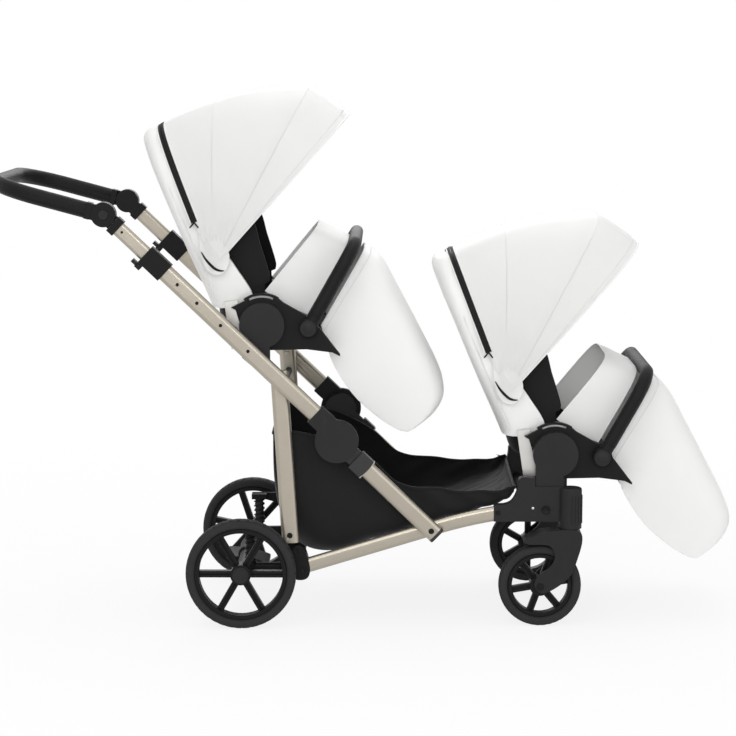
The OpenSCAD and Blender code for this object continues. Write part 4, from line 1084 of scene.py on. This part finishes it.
class PRAM_OT_harness(bpy.types.Operator):
    """Lays an open harness in each seat: two padded shoulder straps and a buckle on its own strap"""
    bl_idname = "pram.harness"
    bl_label = "Harnesses"

    def execute(self, context):
        context.view_layer.update()
        for seat in SEATS:
            origin = seat_origin(seat)
            for word, side in SIDES.items():
                self.shoulder(seat, origin, word, side)
            self.crotch(seat, origin)
        return {"FINISHED"}

    def lie(self, cloth, start, way):
        """Where a line meets the cloth."""
        hit, spot, _, _ = cloth.ray_cast(start, way)
        if not hit:
            raise RuntimeError("The harness finds no cloth to lie on")
        return spot

    def on_liner(self, seat, origin, share, across):
        start = origin + (on_back(share, RAY_OUT) + Vector((0, across, 0))) * MM
        return self.lie(bpy.data.objects[seat + "_back_liner"], start, -direction(BACK_ANGLE - 90))

    def strap(self, name, path, lift, body):
        """A strap of webbing along a path."""
        half = Vector((0, STRAP_HALF * MM, 0))
        piece = ribbon_mesh(name, path, [half] * len(path), [lift] * len(path), STRAP_WALL)
        return dress(piece, body, "webbing")

    def shoulder(self, seat, origin, word, side):
        out = direction(BACK_ANGLE - 90) * MM
        spots, shares = [], []
        for k in range(STRAP_STEPS + 1):
            share = SLOT_SHARE + (STRAP_LOW - SLOT_SHARE) * k / STRAP_STEPS
            down = k / STRAP_STEPS
            across = side * (STRAP_Y + STRAP_BOW * (down - 0.5) ** 2 + STRAP_SPREAD * (1 - down))
            shares.append(share)
            spots.append(self.on_liner(seat, origin, share, across) + out * (3.2 if 0 < k else -1))
        strap = self.strap(f"{seat}_strap_{word}", spots, out, seat + "_back")
        length = reaches(spots)[-1]
        rows = []
        for share, spot in zip(shares, spots):
            if PAD_LOW < share < PAD_TOP:
                along = 2 * (share - PAD_LOW) / (PAD_TOP - PAD_LOW) - 1
                half = SHOULDER_HALF * MM * (1 - PAD_TAPER * along ** 6)
                seam = 1 - PAD_SEAM * math.cos(along * math.pi * 1.5) ** 12
                crowns = [(u, PAD_FOOT + PAD_RISE * seam * (1 - abs(u) ** 3.5) * (1 - along ** 8))
                          for u in (k / 8 - 1 for k in range(17))]
                rows.append([spot + Vector((0, u * half, 0)) + out * rise for u, rise in crowns])
        pad, _, _ = sheet_mesh(f"{seat}_shoulder_pad_{word}", rows, origin + out * 4000)
        thicken(pad, SHOULDER_WALL, 0.0012)
        dress(pad, seat + "_back", "webbing")
        tongue = self.block(f"{seat}_tongue_{word}", TONGUE, 0.0024, 0.006)
        tongue.rotation_euler = (0, math.radians(90 - BACK_ANGLE), 0)
        tongue.location = spots[-1] + out * 2
        settle(tongue)
        dress(tongue, seat + "_back", "dark_plastic")

    def crotch(self, seat, origin):
        pad = bpy.data.objects[seat + "_pad_cushion"]
        down = Vector((0, 0, -1))
        places = [CROTCH_X + (BUCKLE_X + 20 - CROTCH_X) * k / CROTCH_STEPS for k in range(CROTCH_STEPS + 1)]
        spots = [self.lie(pad, origin + Vector((x * MM, 0, RAY_HEIGHT)), down) for x in places]
        up = Vector((0, 0, 0.002))
        path = [spot + up * (-1 if k == 0 else 0.6 + 0.25 * k) for k, spot in enumerate(spots)]
        strap = self.strap(seat + "_crotch_strap", path, up, seat)
        length = reaches(path)[-1]
        buckle = self.block(seat + "_buckle", BUCKLE, 0.005, 0.011)
        spot = self.lie(pad, origin + Vector((BUCKLE_X * MM, 0, RAY_HEIGHT)), down)
        buckle.location = spot + Vector((0, 0, 0.0105))
        settle(buckle)
        dress(buckle, seat, "dark_plastic")

    def block(self, name, size, edge, rim):
        """A rounded plastic body with a raised key on its largest face."""
        piece = primitive(bpy.ops.mesh.primitive_cube_add, name, size=1.0)
        piece.scale = size
        settle(piece)
        flat = size.index(min(size))
        top = [face.index for face in piece.data.polygons if face.normal[flat] > 0.9]
        step_faces(piece, top, ((rim, 0), *KEY_STEPS))
        bevel(piece, edge, 4, 70)
        apply_modifiers(piece)
        return piece


# Basket

BASKET_REAR = Vector((84 - CENTRE_X, 0, 180))
BASKET_LEN, BASKET_H = 610, 300
BASKET_WIDE, BASKET_NARROW, BASKET_ROUND, BASKET_BOXY = 233, 229, 4, 8
BASKET_GRID, RIM_POINTS, RIM_CORD = (84, 111), 361, 0.0032
BASKET_WALL_Y = 0.2
BASKET_WAVE, BASKET_DENT, BASKET_RISE = 0.0022, 0.0045, 0.003
BASKET_FOOT = ((0, 1.05), (0, 1.04), (0.04, 1.05), (0.11, 1.04), (0.26, 0.96), (0.4, 0.81), (0.52, 0.6),
               (0.65, 0.56), (0.81, 0.53), (0.94, 0.54), (0.99, 0.575), (1, 0.58))
BASKET_CROWN = ((-0.01, 1.02), (0, 0.44), (0.05, 0.125), (0.12, -0.03), (0.26, -0.015), (0.4, 0.08),
                (0.52, 0.155), (0.65, 0.235), (0.81, 0.33), (0.94, 0.42), (0.99, 0.49), (1, 0.56))


class PRAM_OT_basket(bpy.types.Operator):
    """Hangs the shopping basket between the rails"""
    bl_idname = "pram.basket"
    bl_label = "Basket"

    def execute(self, context):
        size = context.scene.pram_sizes
        stations = []
        for foot, crown in zip(BASKET_FOOT, BASKET_CROWN):
            half = BASKET_WIDE if foot[0] < 0.6 else BASKET_NARROW
            square = BASKET_ROUND if foot[0] < 0.2 else BASKET_BOXY
            stations.append((
                BASKET_REAR.x + foot[0] * BASKET_LEN, BASKET_REAR.z + foot[1] * BASKET_H,
                BASKET_REAR.x + crown[0] * BASKET_LEN, BASKET_REAR.z + crown[1] * BASKET_H, half, square))
        rows = arch_rows(Vector((0, 0, 0)), stations, *BASKET_GRID)
        for i, row in enumerate(rows):
            share = i / (len(rows) - 1)
            for j, point in enumerate(row):
                low = max(0.0, min(1.0, (0.42 - point.z) / 0.2))
                wave = math.sin(share * 19 + 1.1) * math.sin(j * 0.31) * BASKET_WAVE * low
                front = max(0.0, min(1.0, (point.x + 0.02) / 0.2)) * min(1.0, (1 - share) * 9)
                crease = abs(math.sin(share * 31 + j * 0.23 + 0.7 * math.sin(j * 0.17))) ** 3
                inner = 0.0
                if abs(point.y) > BASKET_WALL_Y:
                    inner = wave - BASKET_DENT * crease * front * math.copysign(1, point.y)
                row[j] = point + Vector((0, inner, wave * 0.6 + BASKET_RISE * crease * front))
        piece, area, flat = sheet_mesh("basket_cloth", rows, Vector((0, 0, -3)))
        thicken(piece, size.basket_cloth)
        dress(piece, "chassis", "black_cloth")
        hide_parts("basket")
        wide = widest(rows)
        min(area, wide * flat[1])
        rim = [row[0] for row in rows] + rows[-1][1:-1] + [row[-1] for row in reversed(rows)]
        rim += rows[0][-2:0:-1] + [rim[0]]
        cord("basket_binding", evenly(rim, RIM_POINTS), RIM_CORD, 8, "chassis", "black_cloth")
        return {"FINISHED"}


# Rails, springs and small trim

RAIL_START = Vector((161 - CENTRE_X, 0, 151))
RAIL_ANGLE, RAIL_FLAT, RAIL_RUN, RAIL_BEND = 16.9, 9, 350, 1213
RAIL_Y, RAIL_WIDE, RAIL_TALL = 245, 22, 38
RAIL_SIDES, RAIL_STEPS = 64, 7
LEG_TOP = Vector((98 - CENTRE_X, 0, 633))
TUBE_ANGLE = -43.7
HUB_ALONG, HUB_DROP = 212, 12
TUBE_RIVETS = (-348, -281, -200, -106)
HANDLE_RIVET = -537
HANDLE_JOINT = -600
HANDLE_ANGLE, HANDLE_SIDE, HANDLE_REACH, HANDLE_BEND, HANDLE_OUT = 165, 268, 290, 120, 20.0
STRUT_HUB, STRUT_PLUG = 0.107, 0.345
SWIVEL = Vector((520.2, 249, 252.3))
RIDGES, RIDGE_FROM, RIDGE_STEP, RIDGE_REACH, RIDGE_RISE, CAP_RISE = 10, -84, 19, 29.2, 49, 98
FRONT_AXLE, AXLE_OUT = (444.2, 105), 31.6
BRACKET_BOLTS = ((-175, 193), (-157, 144), (337, 291))
SWIVEL_LOCK, SWIVEL_MARK = (458, 299), (425, 304)
TUBE_FACE, SLIDE_FACE, BRACKET_FACE = 279.6, 275.4, 257.8
LOCK_FACE, MARK_FACE, BUMPER_FACE = 258.6, 258.2, 261.2
SLOT_ANGLE, SLOT_SWEEP, SLOT_REACH, SLOT_SIDE, SLOT_HALF, SLOT_STEPS = 67, 50, 71, 218, 2.9, 20
SPRING_WIRE, SPRING_TURNS, SPRING_FINE = 0.002, 6, 28
CORE_RIBS, CORE_FINE, CORE_BORE, CORE_SWELL = 5, 8, 0.3, 0.08
RIDGE_RADIUS, RIDGE_TALL = 0.0017, 0.072
CAP_RADIUS, CAP_TALL, CAP_ROUND = 0.0287, 0.012, 0.0052
BAND_RADIUS, BAND_WIRE = 0.0169, 0.0014
CAPS = {
    "rivet": (0.0044, 0.0018, ((0.0010, 0.0005), (0.0012, 0.0003)), 20),
    "bolt": (0.0062, 0.003, ((0.0012, 0), (0.0008, -0.0012)), 24),
    "knob": (0.0105, 0.006, ((0.002, 0.0008), (0.002, -0.0016)), 36),
    "bead": (0.0036, 0.003, ((0.0012, 0.0008),), 24),
    "bumper": (0.0205, 0.0024, ((0.0018, 0), (0.0009, -0.001), (0.0075, 0), (0.0009, 0.0008), (0.006, 0)), 48),
    "axle": (0.0095, 0.003, ((0.0015, 0), (0.001, -0.001), (0.003, 0.0006)), 32),
    "wheel": (0.0205, 0.003, ((0.002, 0), (0.001, -0.0012), (0.009, 0.0012)), 48),
}


class PRAM_OT_rails(bpy.types.Operator):
    """Draws the two bent oval rails as one smooth sweep each"""
    bl_idname = "pram.rails"
    bl_label = "Lower rails"

    def execute(self, context):
        sides = [self.rail(side) for side in SIDES.values()]
        piece = join("lower_rail_tubes", sides)
        dress(piece, "chassis", "champagne_tube")
        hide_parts("lower_rails")
        return {"FINISHED"}

    def rail(self, side):
        piece = primitive(bpy.ops.mesh.primitive_circle_add, "lower_rail", vertices=RAIL_SIDES, radius=0.01)
        up = direction(RAIL_ANGLE + 90)
        start = RAIL_START + Vector((0, side * RAIL_Y, 0))
        straight = (RAIL_TALL - RAIL_WIDE) / 2
        for k, vert in enumerate(piece.data.vertices):
            turn = 2 * math.pi * (k + 0.5) / RAIL_SIDES
            rise = math.copysign(straight, math.sin(turn)) + RAIL_WIDE / 2 * math.sin(turn)
            vert.co = (start + up * rise + Vector((0, RAIL_WIDE / 2 * math.cos(turn), 0))) * MM
        bpy.ops.object.mode_set(mode="EDIT")
        bpy.ops.mesh.select_mode(type="VERT")
        bpy.ops.mesh.select_all(action="SELECT")
        for _ in range(RAIL_STEPS):
            step = direction(RAIL_ANGLE) * (RAIL_RUN / RAIL_STEPS * MM)
            bpy.ops.mesh.extrude_region_move(TRANSFORM_OT_translate={"value": step})
        bend = RAIL_START + direction(RAIL_ANGLE) * RAIL_RUN - up * RAIL_BEND
        bpy.ops.mesh.spin(steps=20, angle=math.radians(RAIL_FLAT - RAIL_ANGLE), center=bend * MM,
                          axis=(0, 1, 0))
        bpy.ops.mesh.select_all(action="SELECT")
        bpy.ops.mesh.fill_holes(sides=0)
        bpy.ops.mesh.normals_make_consistent(inside=False)
        bpy.ops.object.mode_set(mode="OBJECT")
        return piece


class PRAM_OT_springs(bpy.types.Operator):
    """Winds the two suspension springs and sets a rubber core in each"""
    bl_idname = "pram.springs"
    bl_label = "Springs"

    def execute(self, context):
        low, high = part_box("springs")
        wire, fine = SPRING_WIRE, SPRING_FINE
        radius = (high.x - low.x) / 2 - wire
        count = SPRING_TURNS * fine
        middles = [Vector(((low.x + high.x) / 2, side * (high.y - radius - wire), 0))
                   for side in SIDES.values()]
        coils = []
        for middle in middles:
            path = []
            for k in range(count + 1):
                turn = 2 * math.pi * k / fine
                height = low.z + wire + (high.z - low.z - 2 * wire) * k / count
                path.append(middle + Vector((radius * math.cos(turn), radius * math.sin(turn), height)))
            coils.append(cord_mesh("spring_coil", path, wire, 10))
        piece = join("spring_coils", coils)
        dress(piece, "chassis", "black_steel")
        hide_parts("springs")
        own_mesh(piece)
        cores = [self.core(Vector((middle.x, middle.y, low.z)), high.z - low.z, radius - 0.3 * wire)
                 for middle in middles]
        core = dress(join("spring_cores", cores), "chassis", "tyre")
        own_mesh(core)
        return {"FINISHED"}

    def core(self, foot, tall, radius):
        """A ribbed rubber stop that stands in a coil."""
        count = CORE_RIBS * CORE_FINE
        outline = [(radius * CORE_BORE, 0.0)]
        for k in range(count + 1):
            share = k / count
            swell = 1 - CORE_SWELL + CORE_SWELL * math.cos(2 * math.pi * share * CORE_RIBS)
            outline.append((radius * swell, -tall * share))
        outline.append((radius * CORE_BORE, -tall))
        piece = turned("spring_core", Vector((0, 0, 0)), outline, 36)
        piece.rotation_euler = (-math.pi / 2, 0, 0)
        piece.location = foot
        settle(piece)
        return piece


class PRAM_OT_trim(bpy.types.Operator):
    """Adds rivets, bolts, caps, seams and the slot linings"""
    bl_idname = "pram.trim"
    bl_label = "Small trim"

    def execute(self, context):
        self.rivets()
        self.housings()
        self.bumpers()
        self.slots()
        self.handle()
        return {"FINISHED"}

    def on_tube(self, along):
        spot = LEG_TOP + direction(TUBE_ANGLE) * along
        return (spot.x, spot.z)

    def caps(self, kind, name, points, face, body, finish):
        """The same cap at places on both sides."""
        master = boss(kind, *CAPS[kind])
        dress(repeat(master, name, both_sides(points, face)), body, finish)
        bpy.data.objects.remove(master)

    def rivets(self):
        """Rivets, bolts, the ends of the front axles and the rear wheels' caps."""
        points = [self.on_tube(along) for along in TUBE_RIVETS]
        self.caps("rivet", "main_tube_rivets", points, TUBE_FACE, "upper_frame", "black_plastic")
        points = [self.on_tube(HANDLE_RIVET)]
        self.caps("rivet", "handle_tube_rivets", points, SLIDE_FACE, "handle_slide", "black_plastic")
        self.caps("bolt", "chassis_bolts", BRACKET_BOLTS, BRACKET_FACE, "chassis", "black_steel")
        for word, side in SIDES.items():
            axle = boss(f"fork_{word}_axle_ends", *CAPS["axle"])
            self.face(axle, side)
            dress(axle, "fork_" + word, "black_steel")
            hub = boss(f"rear_wheel_{word}_cap", *CAPS["wheel"])
            low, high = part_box("rear_rim_" + word)
            middle = (low + high) / 2
            set_cap(hub, (middle.x, (high.y if side > 0 else low.y) + side * 0.0012, middle.z), side)
            dress(hub, "rear_wheel_" + word, "dark_plastic")

    def face(self, piece, side):
        """Sets one cap on the outer face and a copy on the inner face of a fork."""
        other = twin(piece)
        for cap, way in ((piece, side), (other, -side)):
            spot = Vector((FRONT_AXLE[0], side * SWIVEL.y + way * AXLE_OUT, FRONT_AXLE[1])) * MM
            set_cap(cap, spot, way)
        join(piece.name, [piece, other])

    def housings(self):
        """Domed tops, ridges and the swivel locks on the front housings."""
        bars, caps = [], []
        for side in SIDES.values():
            stem = Vector((SWIVEL.x, side * SWIVEL.y, SWIVEL.z))
            for k in range(RIDGES):
                turn = math.radians(RIDGE_FROM + RIDGE_STEP * k) * side
                out = Vector((math.cos(turn), -math.sin(turn), 0)) * RIDGE_REACH
                bars.append(primitive(
                    bpy.ops.mesh.primitive_cylinder_add, "housing_ridge", vertices=14, radius=RIDGE_RADIUS,
                    depth=RIDGE_TALL, location=(stem + out + Vector((0, 0, RIDGE_RISE))) * MM))
                settle(bars[-1])
            cap = primitive(
                bpy.ops.mesh.primitive_cylinder_add, "housing_cap", vertices=64, radius=CAP_RADIUS,
                depth=CAP_TALL, location=(stem + Vector((0, 0, CAP_RISE))) * MM)
            settle(cap)
            bevel(cap, CAP_ROUND, 5)
            apply_modifiers(cap)
            caps.append(cap)
        dress(join("housing_ridges", bars), "chassis", "dark_plastic")
        dress(join("housing_caps", caps), "chassis", "dark_plastic")
        self.caps("knob", "swivel_locks", [SWIVEL_LOCK], LOCK_FACE, "chassis", "black_plastic")
        self.caps("bead", "swivel_lock_marks", [SWIVEL_MARK], MARK_FACE, "chassis", "silver_tube")

    def bumpers(self):
        """Ringed boss caps, end bands and an underside seam on each bumper bar."""
        along = direction(BUMPER_ANGLE)
        for seat in SEATS:
            pivot = seat_origin(seat) / MM + BUMPER_PIVOT
            self.caps("bumper", seat + "_bumper_caps", [(pivot.x, pivot.z)], BUMPER_FACE,
                      seat + "_bumper", "dark_plastic")
            bands = []
            for side in SIDES.values():
                spot = pivot + along * BUMPER_BAND + Vector((0, side * BUMPER_SIDE, 0))
                bands.append(primitive(
                    bpy.ops.mesh.primitive_torus_add, "bumper_band", major_radius=BAND_RADIUS,
                    minor_radius=BAND_WIRE, major_segments=48, minor_segments=8, location=spot * MM,
                    rotation=(0, math.radians(90 - BUMPER_ANGLE), 0)))
                settle(bands[-1])
            dress(join(seat + "_bumper_bands", bands), seat + "_bumper", "black_plastic")
            out = direction(BUMPER_ANGLE - 90) * BUMPER_OUT
            seam = hoop(pivot, along, BUMPER_SIDE, BUMPER_REACH, BUMPER_BEND, out)
            cord(seat + "_bumper_seam", seam, SEAM_RADIUS, 6, seat + "_bumper", "leatherette")

    def slots(self):
        """The pale lining that shows in the slot over each seat hub."""
        for seat in SEATS:
            origin = seat_origin(seat)
            for word, side in SIDES.items():
                ways = [direction(SLOT_ANGLE + SLOT_SWEEP * k / SLOT_STEPS) for k in range(SLOT_STEPS + 1)]
                path = [origin + (way * SLOT_REACH + Vector((0, side * SLOT_SIDE, 0))) * MM for way in ways]
                wide = [way * SLOT_HALF * MM for way in ways]
                lift = [Vector((0, side * 0.0002, 0))] * len(path)
                lining = ribbon_mesh(f"{seat}_slot_lining_{word}", path, wide, lift, 0.002)
                dress(lining, seat, "white_cloth")

    def handle(self):
        """The sewn seam along the underside of the push bar's grip."""
        joint = LEG_TOP + direction(TUBE_ANGLE) * HANDLE_JOINT
        out = direction(HANDLE_ANGLE + 90) * HANDLE_OUT
        seam = hoop(joint, direction(HANDLE_ANGLE), HANDLE_SIDE, HANDLE_REACH, HANDLE_BEND, out)
        cord("handle_bar_seam", seam, SEAM_RADIUS, 6, "handle", "leatherette")


# Wheels

TYRE_DEPTH, TYRE_POINTS, TYRE_STEPS = 0.024, 30, 120
TYRE_TREAD, TYRE_WALL = 0.72, 0.62
TREAD_EDGE, TREAD_FROM, TREAD_TO, TREAD_EVERY = 0.0035, 0.24, 0.86, 3
TREAD_STEP = ((0.0004, -0.0016),)


class PRAM_OT_wheels(bpy.types.Operator):
    """Spins the tyres and cuts their tread"""
    bl_idname = "pram.wheels"
    bl_label = "Wheels"

    def execute(self, context):
        for end in ("rear", "front"):
            for word in SIDES:
                self.tyre(f"{end}_tyre_{word}", f"{end}_wheel_{word}")
        return {"FINISHED"}

    def tyre(self, node, body):
        low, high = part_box(node)
        centre = (low + high) / 2
        outer = (high.x - low.x) / 2
        half = (high.y - low.y) / 2
        outline = []
        for k in range(TYRE_POINTS):
            turn = 2 * math.pi * k / TYRE_POINTS
            out = math.copysign(abs(math.cos(turn)) ** TYRE_TREAD, math.cos(turn))
            side = math.copysign(abs(math.sin(turn)) ** TYRE_WALL, math.sin(turn))
            outline.append((outer - TYRE_DEPTH / 2 + out * TYRE_DEPTH / 2, side * half))
        piece = turned(node + "_rubber", centre, outline, TYRE_STEPS)
        tread = []
        for face in piece.data.polygons:
            spot = face.center - centre
            away = math.hypot(spot.x, spot.z)
            if away > outer - TREAD_EDGE and half * TREAD_FROM < abs(spot.y) < half * TREAD_TO:
                slot = int((math.atan2(spot.z, spot.x) / (2 * math.pi) + 0.5) * TYRE_STEPS)
                if (slot + (1 if spot.y > 0 else 0)) % TREAD_EVERY == 0:
                    tread.append(face.index)
        step_faces(piece, tread, TREAD_STEP)
        dress(piece, body, "tyre")
        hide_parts(node)


# Stage

FLOOR_SIZE, FLOOR_GLOW, FLOOR_FAR = 60, 0.84, 0.16
FADE_RATE, FADE_START, FADE_ROUND = 0.5, 0.4, 0.1
SKY_LIGHT, SKY_SEEN = 0.58, 0.42
LAMPS = (
    ("key", (-1.8, -3.6, 4.2), 3.0, 46), ("front", (-0.1, -5.0, 2.1), 2.0, 54),
    ("fill", (3.0, -3.8, 1.5), 3.0, 31), ("top", (0.3, 0.6, 4.6), 3.6, 62), ("rear", (0.0, 4.0, 2.6), 3.0, 44),
)
LAMP_AIM = Vector((0, 0, 0.6))
LENS, SENSOR = 112.42, 36
CAMERA_PLACE, CAMERA_DOWN, CAMERA_TURN = (0.0522, -5.9747, 1.4516), 0.1373, 0.0078


class PRAM_OT_stage(bpy.types.Operator):
    """Pale floor, soft light and the camera"""
    bl_idname = "pram.stage"
    bl_label = "Stage"

    def execute(self, context):
        self.floor()
        self.world(context)
        self.lights(context)
        self.camera(context)
        context.scene.view_settings.view_transform = "Standard"
        return {"FINISHED"}

    def seen(self, tree):
        """One where the ray comes straight or by a mirror or glass."""
        path = tree.nodes.new("ShaderNodeLightPath")
        rays = [Wire(tree, path.outputs[n]) for n in ("Is Camera Ray", "Is Glossy Ray", "Is Transmission Ray")]
        return rays[0].sum("MAXIMUM", rays[0].sum("MAXIMUM", rays[0], rays[1]), rays[2])

    def floor(self):
        floor = primitive(bpy.ops.mesh.primitive_grid_add, "studio_floor", x_subdivisions=8, y_subdivisions=8,
                          size=FLOOR_SIZE)
        pale = Finish("studio floor", (0.86, 0.86, 0.86), 0.9, specular_ior_level=0.0)
        tree = pale.tree
        glow = tree.nodes.new("ShaderNodeEmission")
        glow.inputs["Color"].default_value = (1, 1, 1, 1)
        glow.inputs["Strength"].default_value = 1.0
        mix = tree.nodes.new("ShaderNodeMixShader")
        across, deep, _ = pale.axes()
        away = (across * across + deep * deep).root()
        far = away.sum("SMOOTH_MAX", away * FADE_RATE - FADE_START, 0.0, FADE_ROUND)
        far = far.sum("MINIMUM", far, 1.0)
        tree.links.new((self.seen(tree) * (far * FLOOR_FAR + FLOOR_GLOW)).socket, mix.inputs["Fac"])
        tree.links.new(pale.shader.outputs[0], mix.inputs[1])
        tree.links.new(glow.outputs[0], mix.inputs[2])
        out = next(n for n in tree.nodes if n.type == "OUTPUT_MATERIAL")
        tree.links.new(mix.outputs[0], out.inputs["Surface"])
        floor.data.materials.append(pale.material)

    def world(self, context):
        world = bpy.data.worlds.new("studio")
        context.scene.world = world
        world.use_nodes = True
        tree = world.node_tree
        back = tree.nodes["Background"]
        back.inputs["Color"].default_value = (1, 1, 1, 1)
        tree.links.new((self.seen(tree) * SKY_SEEN + SKY_LIGHT).socket, back.inputs["Strength"])

    def lights(self, context):
        for name, place, size, power in LAMPS:
            data = bpy.data.lights.new("studio_" + name, "AREA")
            data.shape = "DISK"
            data.size = size
            data.energy = power
            lamp = bpy.data.objects.new("studio_" + name, data)
            lamp.location = place
            lamp.rotation_euler = (LAMP_AIM - Vector(place)).to_track_quat("-Z", "Y").to_euler()
            context.scene.collection.objects.link(lamp)

    def camera(self, context):
        data = bpy.data.cameras.new("view")
        data.lens = LENS
        data.sensor_width = SENSOR
        data.clip_end = 100
        camera = bpy.data.objects.new("view", data)
        camera.location = CAMERA_PLACE
        camera.rotation_euler = (math.pi / 2 - CAMERA_DOWN, 0, CAMERA_TURN)
        context.scene.collection.objects.link(camera)
        context.scene.camera = camera


OPERATORS = (
    PRAM_OT_finishes, PRAM_OT_frame, PRAM_OT_canopies, PRAM_OT_backs, PRAM_OT_covers, PRAM_OT_pads,
    PRAM_OT_harness, PRAM_OT_basket, PRAM_OT_wheels, PRAM_OT_rails, PRAM_OT_springs, PRAM_OT_trim,
    PRAM_OT_stage,
)


class PRAM_PT_panel(bpy.types.Panel):
    """Lists the steps that dress the pram"""
    bl_idname = "PRAM_PT_panel"
    bl_label = "Twin Pram"
    bl_space_type = "VIEW_3D"
    bl_region_type = "UI"
    bl_category = "Twin Pram"

    def draw(self, context):
        for step in OPERATORS:
            self.layout.operator(step.bl_idname)


CLASSES = (PramSizes, PramColours, *OPERATORS, PRAM_PT_panel)


def register():
    for kind in CLASSES:
        bpy.utils.register_class(kind)
    bpy.types.Scene.pram_sizes = bpy.props.PointerProperty(type=PramSizes)
    bpy.types.Scene.pram_colours = bpy.props.PointerProperty(type=PramColours)


def unregister():
    del bpy.types.Scene.pram_colours
    del bpy.types.Scene.pram_sizes
    for kind in reversed(CLASSES):
        bpy.utils.unregister_class(kind)


def main():
    register()
    bpy.ops.pram.finishes()
    bpy.ops.pram.frame()
    bpy.ops.pram.canopies()
    bpy.ops.pram.backs()
    bpy.ops.pram.covers()
    bpy.ops.pram.pads()
    bpy.ops.pram.harness()
    bpy.ops.pram.basket()
    bpy.ops.pram.wheels()
    bpy.ops.pram.rails()
    bpy.ops.pram.springs()
    bpy.ops.pram.trim()
    bpy.ops.pram.stage()


if __name__ == "__main__":
    main()
